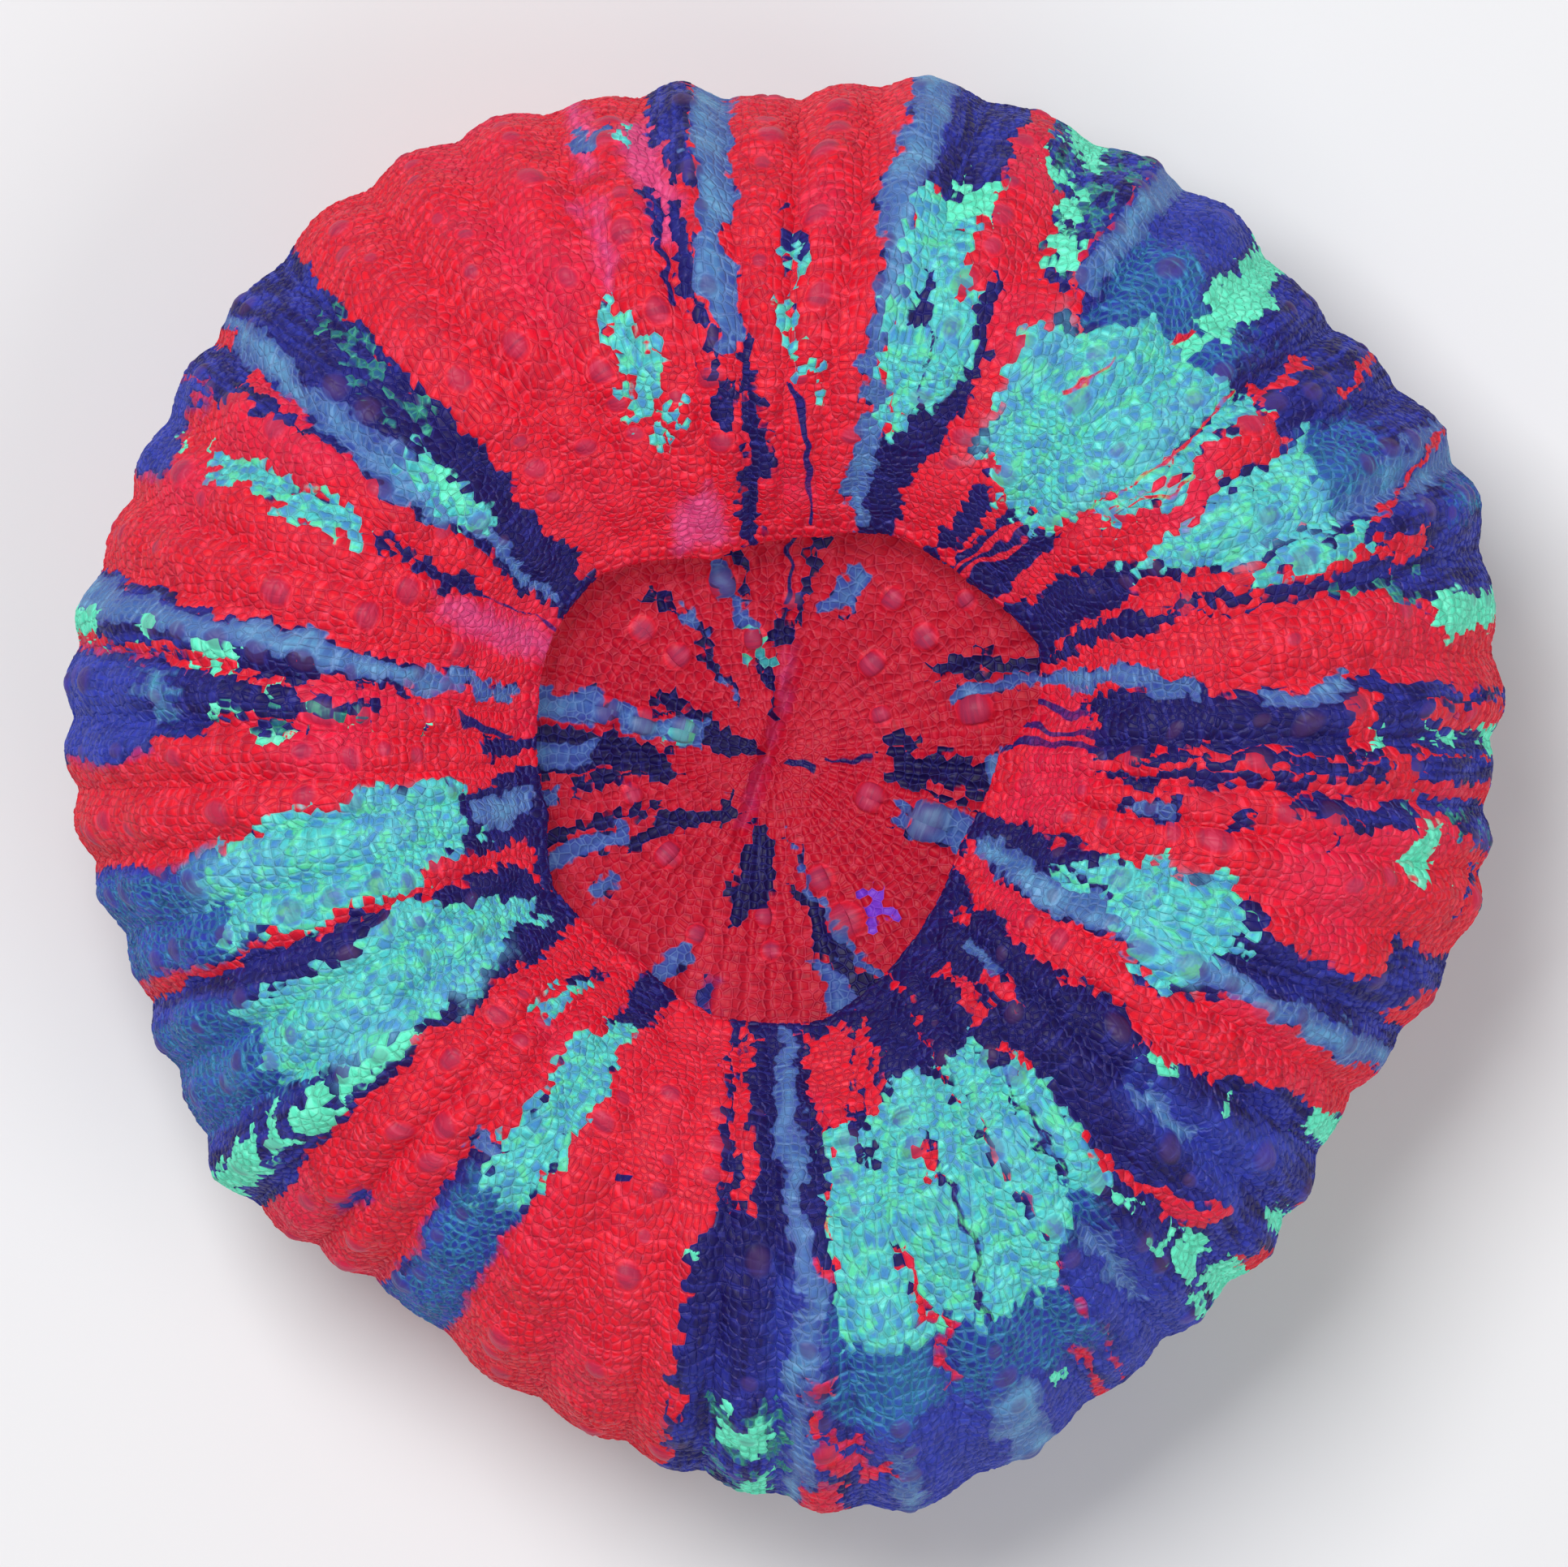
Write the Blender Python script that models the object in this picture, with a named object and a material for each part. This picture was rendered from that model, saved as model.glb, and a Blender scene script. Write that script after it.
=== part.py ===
# Scolymia coral: one large fleshy polyp, seen in the photo from straight above.
# The swollen mantle folds over as a lip round a sunken oral disc with a slit mouth in the middle.
# Underneath, the flesh draws in to the ribbed stony foot, which is cut off flat.
# The origin is on the cut, below the middle of the disc. X runs to the photo's right, Y to its top.

import math

import bmesh
import bpy
import numpy as np

MM = 0.001

# Driving dimensions, in millimetres
MOUTH_X = -0.9
MOUTH_Y = 2.2
MOUTH_Z = 16.0
LIP_Z = 21.8
CREST_Z = 27.0
RIM_Z = 13.5
HEM_Z = 8.6
FOOT_RADIUS = 20.0

# Every septal ridge, going round the mouth from the photo's right: its angle in degrees and the
# distance in millimetres from the mouth to the rim where the ridge ends
RIDGES = (
    (4.0, 40.9), (12.0, 41.1), (20.0, 41.9), (26.0, 41.6), (34.0, 40.0),
    (40.0, 39.2), (49.5, 39.6), (57.0, 39.1), (66.5, 38.5), (76.5, 38.7),
    (84.0, 37.2), (90.0, 36.3), (97.5, 37.5), (104.5, 37.5), (113.0, 38.3),
    (121.0, 38.7), (129.5, 38.8), (140.0, 38.6), (146.5, 38.5), (155.0, 38.4),
    (161.0, 38.3), (168.0, 39.1), (174.0, 39.0), (180.0, 38.9), (186.0, 38.5),
    (192.0, 37.8), (199.0, 37.0), (205.0, 37.4), (211.0, 37.4), (217.5, 38.6),
    (225.0, 37.6), (230.0, 37.0), (236.0, 36.4), (246.0, 37.8), (255.0, 38.8),
    (262.0, 39.9), (268.0, 40.8), (274.0, 42.1), (281.0, 42.7), (291.0, 41.4),
    (301.0, 39.7), (307.0, 39.4), (315.0, 39.2), (321.0, 38.6), (327.0, 37.5),
    (333.0, 38.2), (340.0, 39.2), (348.0, 40.4), (353.0, 40.3), (358.5, 40.1),
)
RIDGE_ANGLES = np.array([angle for angle, _ in RIDGES])
RIDGE_REACHES = np.array([reach for _, reach in RIDGES])
RIDGE_HEIGHT = 1.3
RIM_DIP = 0.5

# The corners of the opening in the mantle: angle in degrees and distance from the mouth
LIP_CORNERS = (
    (0.0, 12.9), (10.0, 15.3), (22.0, 16.2), (40.0, 14.7), (60.0, 14.0),
    (78.0, 12.3), (92.0, 11.7), (106.0, 11.2), (133.0, 13.6), (152.0, 13.6),
    (168.0, 13.0), (195.0, 12.6), (212.0, 14.0), (236.0, 13.4), (258.0, 14.8),
    (282.0, 15.1), (300.0, 13.7), (315.0, 12.7), (335.0, 11.8), (350.0, 12.4),
)
LIP_ANGLES = [angle for angle, _ in LIP_CORNERS]
LIP_REACHES = [reach for _, reach in LIP_CORNERS]

# The folded edge round the opening: how far in from the lip's tip and how far below it, in turn
# for the back of the groove under the lip, the lip's lower edge and its tip
LIP_FOLD = ((1.3, 1.9), (0.25, 0.75), (0.0, 0.0))
LIP_ROUND = 0.9

# Side view of the mantle: where the crest is on the way from lip to rim, how much of the arc lies
# inside it, and the powers that make the arc full towards the rim
CREST_OUT = 0.4
CREST_ARC = 0.36
ARC_REACH_POWER = 0.87
ARC_HEIGHT_POWER = 1.24

# Blunt teeth in a row along every ridge, out of step with those of the next ridge
TEETH_PER_RIDGE = 6
TOOTH_HEIGHT = 0.45

# Slow swells of the mantle: how many round the polyp, how high in millimetres, where the first is
SWELLS = ((3, 0.55, 75.0), (5, 0.4, 20.0), (7, 0.25, 205.0))

# The oral disc: how far its edge lies below the lip's tip, and the height of its wrinkles
DISC_DROP = 2.4
DISC_CURVE = 1.3
WRINKLE_HEIGHT = 0.3

# The slit of the mouth, with a raised lip on both sides of a groove
MOUTH_TURN = math.radians(67.0)
MOUTH_HALF_LENGTH = 4.6
GROOVE_WIDTH = 0.45
GROOVE_DEPTH = 0.9
MOUTH_LIP_AT = 1.0
MOUTH_LIP_WIDTH = 0.55
MOUTH_LIP_HEIGHT = 0.5

# Large vesicles that stand up from the oral disc: X and Y from the mouth, and their radius
VESICLES = (
    (6.9, 8.6, 0.8), (5.8, 5.0, 0.9), (8.7, 6.5, 0.9), (11.0, 8.5, 0.7),
    (11.5, 2.4, 1.2), (6.3, 2.1, 0.7), (5.7, -2.4, 1.0), (8.9, -3.7, 1.4),
    (3.0, -6.9, 0.9), (4.3, -9.3, 1.3), (-0.1, -9.0, 0.7), (0.2, -10.9, 0.7),
    (-5.5, -5.6, 0.9), (-7.5, -2.2, 0.7), (-3.9, -10.0, 0.7), (-5.0, 5.4, 0.9),
    (-6.9, 6.9, 0.9), (-2.5, 9.5, 1.0), (-0.7, 6.4, 0.8), (1.4, 8.5, 0.7),
    (-8.9, 2.4, 0.9), (-6.9, 1.8, 0.9), (-4.7, 1.3, 0.9),
)
VESICLE_RISE = 0.7

# The flesh under the rim: how far in from the rim, its height, and how much of the ring's centre
# is the mouth's rather than the foot's
UNDER_RIM = ((0.7, 11.3, 1.0), (3.4, 9.4, 0.95), (7.2, HEM_Z, 0.85))

# The stony foot: how much of its reach is the rim's rather than the round cut's, its height, and
# the same share of the centre
FOOT_STEPS = ((0.5, HEM_Z + 0.5, 0.8), (0.3, 5.6, 0.5), (0.1, 2.4, 0.2), (0.0, 0.0, 0.0))
RIB_HEIGHT = 0.5

# How finely the surface is divided: two columns on the top of every ridge and one in its valley
COLUMN_PLACES = (1 / 6, 1 / 2, 5 / 6)
DISC_STEPS = (0.08, 0.18, 0.3, 0.43, 0.57, 0.71, 0.85)
MANTLE_STEPS = 12

# The colour of the living flesh and its finish
FLESH_RED = (0.68, 0.02, 0.05, 1.0)
FLESH_ROUGHNESS = 0.35


def column_angles():
    """The angle of every column, going round the mouth."""
    gaps = np.diff(np.append(RIDGE_ANGLES, RIDGE_ANGLES[0] + 360.0))
    angles = RIDGE_ANGLES[:, None] + gaps[:, None] * np.array(COLUMN_PLACES)
    return angles.ravel()


def ridge_count(angle):
    """How many ridges have been passed at an angle: whole on a crest, a half in a valley."""
    first = RIDGE_ANGLES[-1] - 360.0
    after = RIDGE_ANGLES[0] + 360.0
    places = np.concatenate(([first], RIDGE_ANGLES, [after]))
    return np.interp(angle, places, np.arange(-1.0, len(RIDGES) + 1.0))


def ridge_shape(angle):
    """One on the broad crest of a ridge, falling to nought in the narrow valley beside it."""
    return np.abs(np.cos(np.pi * ridge_count(angle))) ** 0.9


def lip_reach(angle):
    """Distance from the mouth to the lip's tip."""
    return np.interp(angle, LIP_ANGLES, LIP_REACHES, period=360.0)


def rim_reach(angle):
    """The rim stands out at every ridge and draws in between two of them."""
    reach = np.interp(angle, RIDGE_ANGLES, RIDGE_REACHES, period=360.0)
    return reach - RIM_DIP * (1.0 - ridge_shape(angle))


def swell(angle):
    """The slow rise and fall of the mantle round the polyp."""
    rise = np.zeros_like(angle)
    for count, height, first in SWELLS:
        rise += height * np.cos(np.radians(count * (angle - first)))
    return rise


def bell(distance, width):
    """One at nought, fading smoothly beyond the width."""
    return np.exp(-((distance / width) ** 2))


def place(reach, angle, height, centre_share=1.0):
    """A ring of points: its centre moves from the mouth, at 1, to the foot's middle, at 0."""
    x = MOUTH_X * centre_share + reach * np.cos(np.radians(angle))
    y = MOUTH_Y * centre_share + reach * np.sin(np.radians(angle))
    return np.stack((x, y, height + np.zeros_like(angle)), axis=1)


def disc_height(x, y, angle, out):
    """The oral disc rises from the mouth to the lip, with wrinkles, vesicles and the slit."""
    base = MOUTH_Z + (LIP_Z - DISC_DROP - MOUTH_Z) * out ** DISC_CURVE
    wrinkle = WRINKLE_HEIGHT * (ridge_shape(angle) - 0.5) * min(1.0, 2.0 * out)
    along = x * math.cos(MOUTH_TURN) + y * math.sin(MOUTH_TURN)
    across = y * math.cos(MOUTH_TURN) - x * math.sin(MOUTH_TURN)
    ends = 1.0 / (1.0 + (along / MOUTH_HALF_LENGTH) ** 6)
    groove = GROOVE_DEPTH * bell(across, GROOVE_WIDTH)
    lips = MOUTH_LIP_HEIGHT * bell(np.abs(across) - MOUTH_LIP_AT, MOUTH_LIP_WIDTH)
    bubble = np.zeros_like(angle)
    for vesicle_x, vesicle_y, radius in VESICLES:
        away = np.hypot(x - vesicle_x, y - vesicle_y)
        bubble = np.maximum(bubble, VESICLE_RISE * radius * bell(away, radius))
    return base + wrinkle + ends * (lips - groove) + bubble


def disc_ring(angle, out):
    """One ring of the oral disc, at a share of the way from the mouth to the lip."""
    reach = out * lip_reach(angle)
    x = reach * np.cos(np.radians(angle))
    y = reach * np.sin(np.radians(angle))
    return place(reach, angle, disc_height(x, y, angle, out))


def mantle_curve(arc):
    """Side view of the mantle: its share of the way from lip to rim, and its height."""
    if arc < CREST_ARC:
        inner = arc / CREST_ARC
        low = LIP_Z + LIP_ROUND
        return CREST_OUT * inner, low + (CREST_Z - low) * math.sin(0.5 * math.pi * inner)
    turn = 0.5 * math.pi * (arc - CREST_ARC) / (1.0 - CREST_ARC)
    out = CREST_OUT + (1.0 - CREST_OUT) * math.sin(turn) ** ARC_REACH_POWER
    return out, RIM_Z + (CREST_Z - RIM_Z) * abs(math.cos(turn)) ** ARC_HEIGHT_POWER


def mantle_ring(angle, arc):
    """One ring of the mantle, at a share of the arc that goes from the lip over to the rim."""
    lip = lip_reach(angle) + LIP_ROUND
    width = rim_reach(angle) - lip
    out, height = mantle_curve(arc)
    out_before, height_before = mantle_curve(max(0.0, arc - 0.01))
    out_after, height_after = mantle_curve(min(1.0, arc + 0.01))
    run = width * (out_after - out_before)
    fall = height_after - height_before
    length = np.hypot(run, fall)
    strength = math.sin(math.pi * min(1.0, 0.08 + 0.92 * arc)) ** 0.7
    crest = ridge_shape(angle)
    neighbour = np.pi * np.round(ridge_count(angle))
    tooth = np.cos(2.0 * np.pi * TEETH_PER_RIDGE * arc + neighbour)
    lift = strength * (RIDGE_HEIGHT * (crest - 0.7) + TOOTH_HEIGHT * tooth * crest)
    rise = swell(angle) * math.sin(math.pi * min(1.0, 0.1 + 0.9 * arc))
    reach = lip + width * out - lift * fall / length
    return place(reach, angle, height + lift * run / length + rise)


def lip_ring(angle, inset, drop):
    """One ring of the folded edge round the opening."""
    return place(lip_reach(angle) + inset, angle, LIP_Z - drop)


def under_ring(angle, inset, height, centre_share):
    """One ring of the flesh that draws in under the rim."""
    return place(rim_reach(angle) - inset, angle, height, centre_share)


def foot_ring(angle, rim_share, height, centre_share):
    """One ring of the stony foot, with a rib under every ridge."""
    rib = RIB_HEIGHT * (ridge_shape(angle) - 0.5)
    spread = rim_share * (rim_reach(angle) - FOOT_RADIUS)
    return place(FOOT_RADIUS + spread + rib, angle, height, centre_share)


def all_rings(angle):
    """Every ring in turn, from the mouth out over the rim and down to the cut."""
    rings = [disc_ring(angle, out) for out in DISC_STEPS]
    rings += [lip_ring(angle, inset, drop) for inset, drop in LIP_FOLD]
    rings += [mantle_ring(angle, step / MANTLE_STEPS) for step in range(MANTLE_STEPS + 1)]
    rings += [under_ring(angle, *step) for step in UNDER_RIM]
    rings += [foot_ring(angle, *step) for step in FOOT_STEPS]
    return rings


def closed_skin():
    """The rings joined into one closed body, with a point at the mouth and one below."""
    mesh = bmesh.new()
    loops = []
    for ring in all_rings(column_angles()):
        loops.append([mesh.verts.new(point) for point in ring * MM])
    nowhere = np.zeros(1)
    mouth_z = disc_height(nowhere, nowhere, nowhere, 0.0)[0]
    mouth = mesh.verts.new((MOUTH_X * MM, MOUTH_Y * MM, mouth_z * MM))
    below = mesh.verts.new((0.0, 0.0, 0.0))
    for column in range(len(loops[0])):
        before = column - 1
        mesh.faces.new((mouth, loops[0][before], loops[0][column]))
        for inner, outer in zip(loops, loops[1:]):
            mesh.faces.new((inner[before], outer[before], outer[column], inner[column]))
        mesh.faces.new((loops[-1][before], below, loops[-1][column]))
    bmesh.ops.triangulate(mesh, faces=mesh.faces[:])
    bmesh.ops.recalc_face_normals(mesh, faces=mesh.faces[:])
    return mesh


def flesh_material():
    """Wet red flesh."""
    material = bpy.data.materials.new("coral_flesh")
    material.use_nodes = True
    shader = material.node_tree.nodes["Principled BSDF"]
    shader.inputs["Base Color"].default_value = FLESH_RED
    shader.inputs["Roughness"].default_value = FLESH_ROUGHNESS
    shader.inputs["Metallic"].default_value = 0.0
    return material


def build_coral():
    """The whole coral, as one object."""
    data = bpy.data.meshes.new("scolymia_coral")
    skin = closed_skin()
    skin.to_mesh(data)
    skin.free()
    data.materials.append(flesh_material())
    data.shade_smooth()
    data.set_sharp_from_angle(angle=math.radians(60.0))
    coral = bpy.data.objects.new("scolymia_coral", data)
    bpy.context.collection.objects.link(coral)
    return coral


for old in list(bpy.data.objects):
    bpy.data.objects.remove(old, do_unlink=True)

build_coral()
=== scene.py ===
# %% [markdown]
# # Scolymia coral
# One large fleshy polyp, as it lies under the camera: a swollen mantle folded over as a lip round
# a sunken oral disc, all of it packed with tiny vesicles, on a ribbed stony foot that is cut flat.
# The flesh is one sheet that is modelled flat, made fine, lifted into its shape and then painted.

# %% Load the frame
import math

import bpy
import numpy as np
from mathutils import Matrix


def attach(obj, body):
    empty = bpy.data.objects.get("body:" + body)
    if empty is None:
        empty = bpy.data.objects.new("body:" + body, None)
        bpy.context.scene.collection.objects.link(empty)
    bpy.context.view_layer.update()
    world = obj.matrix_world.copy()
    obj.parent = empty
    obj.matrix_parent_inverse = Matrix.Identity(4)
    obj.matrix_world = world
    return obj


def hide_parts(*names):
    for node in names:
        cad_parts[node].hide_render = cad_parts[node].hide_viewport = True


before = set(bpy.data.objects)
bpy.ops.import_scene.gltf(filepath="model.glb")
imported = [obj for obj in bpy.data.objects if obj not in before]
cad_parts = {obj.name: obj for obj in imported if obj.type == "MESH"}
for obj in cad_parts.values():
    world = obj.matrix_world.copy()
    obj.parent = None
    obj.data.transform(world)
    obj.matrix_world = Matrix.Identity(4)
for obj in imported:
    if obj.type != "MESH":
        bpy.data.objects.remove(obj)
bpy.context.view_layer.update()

MM = 0.001

# %% [markdown]
# ## The measures that the living coral gives
# The solid part is the guide, so its driving dimensions come first. Angles go round the mouth in
# degrees, from the photo's right, and reaches are distances from the mouth in millimetres.

# %% Driving dimensions
MOUTH_X = -0.9
MOUTH_Y = 2.2
MOUTH_Z = 16.0
LIP_Z = 21.8
CREST_Z = 27.0
RIM_Z = 13.5
HEM_Z = 8.6
FOOT_RADIUS = 20.0

RIDGES = (
    (4.0, 40.9), (12.0, 41.1), (20.0, 41.9), (26.0, 41.6), (34.0, 40.0),
    (40.0, 39.2), (49.5, 39.6), (57.0, 39.1), (66.5, 38.5), (76.5, 38.7),
    (84.0, 37.2), (90.0, 36.3), (97.5, 37.5), (104.5, 37.5), (113.0, 38.3),
    (121.0, 38.7), (129.5, 38.8), (140.0, 38.6), (146.5, 38.5), (155.0, 38.4),
    (161.0, 38.3), (168.0, 39.1), (174.0, 39.0), (180.0, 38.9), (186.0, 38.5),
    (192.0, 37.8), (199.0, 37.0), (205.0, 37.4), (211.0, 37.4), (217.5, 38.6),
    (225.0, 37.6), (230.0, 37.0), (236.0, 36.4), (246.0, 37.8), (255.0, 38.8),
    (262.0, 39.9), (268.0, 40.8), (274.0, 42.1), (281.0, 42.7), (291.0, 41.4),
    (301.0, 39.7), (307.0, 39.4), (315.0, 39.2), (321.0, 38.6), (327.0, 37.5),
    (333.0, 38.2), (340.0, 39.2), (348.0, 40.4), (353.0, 40.3), (358.5, 40.1),
)
RIDGE_ANGLES = np.array([angle for angle, _ in RIDGES])
RIDGE_REACHES = np.array([reach for _, reach in RIDGES])
RIDGE_HEIGHT = 0.6
RIM_DIP = 0.5
VALLEY_ROUND = 0.06

LIP_CORNERS = (
    (0.0, 12.9), (10.0, 15.3), (22.0, 16.2), (40.0, 14.7), (60.0, 14.0),
    (78.0, 12.3), (92.0, 11.7), (106.0, 11.2), (133.0, 13.6), (152.0, 13.6),
    (168.0, 13.0), (195.0, 12.6), (212.0, 14.0), (236.0, 13.4), (258.0, 14.8),
    (282.0, 15.1), (300.0, 13.7), (315.0, 12.7), (335.0, 11.8), (350.0, 12.4),
)
LIP_ANGLES = [angle for angle, _ in LIP_CORNERS]
LIP_REACHES = [reach for _, reach in LIP_CORNERS]
GROOVE_IN = 1.3
GROOVE_BELOW = 1.9
LIP_ROUND = 0.9
DISC_CURVE = 1.3

CREST_OUT = 0.4
CREST_ARC = 0.36
ARC_REACH_POWER = 0.87
ARC_HEIGHT_POWER = 1.24
SWELLS = ((3, 0.55, 75.0), (5, 0.4, 20.0), (7, 0.25, 205.0))
print(len(RIDGES), "ridges round the mouth")

# %% Forms that repeat round the mouth
def ridge_count(angle):
    """How many ridges have been passed at an angle: whole on a crest, a half in a valley."""
    first = RIDGE_ANGLES[-1] - 360.0
    after = RIDGE_ANGLES[0] + 360.0
    places = np.concatenate(([first], RIDGE_ANGLES, [after]))
    return np.interp(angle, places, np.arange(-1.0, len(RIDGES) + 1.0))


def ridge_shape(angle):
    """One on the broad crest of a ridge, falling to nought in the narrow valley beside it."""
    wave = np.sqrt(np.cos(np.pi * ridge_count(angle)) ** 2 + VALLEY_ROUND)
    lowest = math.sqrt(VALLEY_ROUND)
    return (wave - lowest) / (math.sqrt(1.0 + VALLEY_ROUND) - lowest)


def lip_reach(angle):
    """Distance from the mouth to the lip's tip."""
    return np.interp(angle, LIP_ANGLES, LIP_REACHES, period=360.0)


def rim_reach(angle):
    """The rim stands out at every ridge and draws in between two of them."""
    reach = np.interp(angle, RIDGE_ANGLES, RIDGE_REACHES, period=360.0)
    return reach - RIM_DIP * (1.0 - ridge_shape(angle))


def swell(angle):
    """The slow rise and fall of the mantle round the polyp."""
    return sum(height * np.cos(np.radians(count * (angle - first))) for count, height, first in SWELLS)


def step_up(value, low, high):
    """Nought below low and one above high, with a smooth rise between them."""
    share = np.clip((value - low) / (high - low), 0.0, 1.0)
    return share * share * (3.0 - 2.0 * share)


print("The rim reaches", round(float(rim_reach(RIDGE_ANGLES).max()), 1), "mm at the most")

# %% [markdown]
# ## The flat sheet
# A coral's flesh is one skin. It starts as a small disc whose edge is extruded and scaled ring by
# ring, and where the rings get long the edge is cut in two so that the faces stay about square. A
# simple subdivision then gives the columns and rows that the vesicles need.

# %% Model the flat sheet
START_COLUMNS = 22
DOUBLE_AT = (3, 7, 25)
RINGS = 50
RING_WIDTH = 1.2 * MM
FINE_LEVELS = 3


def deselect():
    """Nothing is selected, so the next operator acts on its own object alone."""
    bpy.ops.object.select_all(action="DESELECT")


def apply_modifier(piece, kind, name, **settings):
    """Adds a modifier with these settings and applies it."""
    deselect()
    bpy.context.view_layer.objects.active = piece
    piece.select_set(True)
    modifier = piece.modifiers.new(name, kind)
    for setting, value in settings.items():
        setattr(modifier, setting, value)
    bpy.ops.object.modifier_apply(modifier=name)


def flat_sheet():
    """The flesh as a flat round sheet, with the mouth in its middle."""
    deselect()
    bpy.ops.mesh.primitive_circle_add(vertices=START_COLUMNS, radius=RING_WIDTH, fill_type="TRIFAN")
    sheet = bpy.context.object
    sheet.name = "flesh_sheet"
    bpy.ops.object.mode_set(mode="EDIT")
    bpy.ops.mesh.select_mode(type="EDGE")
    bpy.ops.mesh.select_all(action="DESELECT")
    bpy.ops.mesh.select_non_manifold()
    for ring in range(1, RINGS):
        if ring in DOUBLE_AT:
            bpy.ops.mesh.subdivide(number_cuts=1)
        larger = (ring + 1) / ring
        bpy.ops.mesh.extrude_edges_move()
        bpy.ops.transform.resize(value=(larger, larger, 1.0))
    bpy.ops.object.mode_set(mode="OBJECT")
    apply_modifier(sheet, "SUBSURF", "Fine", subdivision_type="SIMPLE", levels=FINE_LEVELS,
                   render_levels=FINE_LEVELS)
    return sheet


flesh = flat_sheet()
print("Flat sheet:", len(flesh.data.vertices), "points and", len(flesh.data.polygons), "faces")

# %% [markdown]
# ## The side view
# Cut through from the mouth to the foot, the flesh runs out over the oral disc, back under the
# lip, over the mantle's crest and round the rim to the hem. Each knot says on which ring of the
# sheet it is, what share of the lip's and of the rim's reach it has, how much is added, how high
# it lies, and how much of its centre is the mouth's. A smooth curve runs through the knots.

# %% Knots of the side view
GROOVE_RING = 12
LIP_RING = 14
MANTLE_RING = 15
RIM_RING = 43
MANTLE_RINGS = RIM_RING - MANTLE_RING
MANTLE_ARC = 32.6
UNDER_KNOTS = (
    (44.6, 0.0, 1.0, -0.7, 11.3, 1.0),
    (46.6, 0.0, 1.0, -3.4, 9.4, 0.95),
    (48.8, 0.0, 1.0, -7.2, HEM_Z, 0.85),
    (50.0, 0.0, 0.5, 0.5 * FOOT_RADIUS - 0.4, HEM_Z + 0.8, 0.8),
)


def mantle_curve(arc):
    """Side view of the mantle: its share of the way from lip to rim, and its height."""
    if arc < CREST_ARC:
        inner = arc / CREST_ARC
        low = LIP_Z + LIP_ROUND
        return CREST_OUT * inner, low + (CREST_Z - low) * math.sin(0.5 * math.pi * inner)
    turn = 0.5 * math.pi * (arc - CREST_ARC) / (1.0 - CREST_ARC)
    out = CREST_OUT + (1.0 - CREST_OUT) * math.sin(turn) ** ARC_REACH_POWER
    return out, RIM_Z + (CREST_Z - RIM_Z) * abs(math.cos(turn)) ** ARC_HEIGHT_POWER


def side_view():
    """Every knot in turn, from the mouth to the hem."""
    knots = []
    for ring in range(GROOVE_RING):
        share = ring / GROOVE_RING
        height = MOUTH_Z + (LIP_Z - GROOVE_BELOW - MOUTH_Z) * share ** DISC_CURVE
        knots.append((ring, share, 0.0, GROOVE_IN * share, height, 1.0))
    knots.append((GROOVE_RING, 1.0, 0.0, GROOVE_IN, LIP_Z - GROOVE_BELOW, 1.0))
    knots.append((GROOVE_RING + 1, 1.0, 0.0, 0.3, LIP_Z - 0.75, 1.0))
    knots.append((LIP_RING, 1.0, 0.0, 0.05, LIP_Z + 0.1, 1.0))
    for step in range(MANTLE_RINGS + 1):
        out, height = mantle_curve(step / MANTLE_RINGS)
        knots.append((MANTLE_RING + step, 1.0 - out, out, LIP_ROUND * (1.0 - out), height, 1.0))
    return np.array(knots + list(UNDER_KNOTS))


SIDE_VIEW = side_view()


def along_side(ring):
    """The side view's five values at any place on the sheet, on a smooth curve."""
    places = SIDE_VIEW[:, 0]
    before = np.clip(np.searchsorted(places, ring, side="right") - 1, 0, len(places) - 2)
    gap = places[before + 1] - places[before]
    share = np.clip((ring - places[before]) / gap, 0.0, 1.0)
    values = []
    for column in SIDE_VIEW[:, 1:].T:
        slope = np.gradient(column, places)
        rise = column[before + 1] - column[before]
        start = slope[before] * gap
        end = slope[before + 1] * gap
        bend = (start + end - 2.0 * rise) * share + 3.0 * rise - 2.0 * start - end
        values.append(column[before] + share * (start + share * bend))
    return values


print(len(SIDE_VIEW), "knots in the side view")

# %% [markdown]
# ## Lifting the sheet
# Every point of the sheet has an angle and a ring, so its place in the round follows from the
# side view. Septal ridges under the flesh push it up in rows of blunt teeth, the mantle swells
# slowly round the polyp, and the slit of the mouth sinks between two raised lines.

# %% Lift the sheet
TEETH_PER_RIDGE = 6
TOOTH_HEIGHT = 0.25
WRINKLE_HEIGHT = 0.3
MOUTH_TURN = math.radians(72.0)
MOUTH_HALF_LENGTH = 4.6
GROOVE_WIDTH = 0.28
GROOVE_DEPTH = 0.7
MOUTH_LIP_AT = 0.7
MOUTH_LIP_WIDTH = 0.35
MOUTH_LIP_HEIGHT = 0.35

flat = np.empty(3 * len(flesh.data.vertices))
flesh.data.vertices.foreach_get("co", flat)
flat = flat.reshape(-1, 3)
sheet_angle = np.degrees(np.arctan2(flat[:, 1], flat[:, 0])) % 360.0
sheet_ring = np.hypot(flat[:, 0], flat[:, 1]) / RING_WIDTH


def base_reach(angle, ring):
    """Distance from the centre of its ring, before any ridge."""
    lip_share, rim_share, added, _, _ = along_side(ring)
    return lip_share * lip_reach(angle) + rim_share * rim_reach(angle) + added


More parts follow.
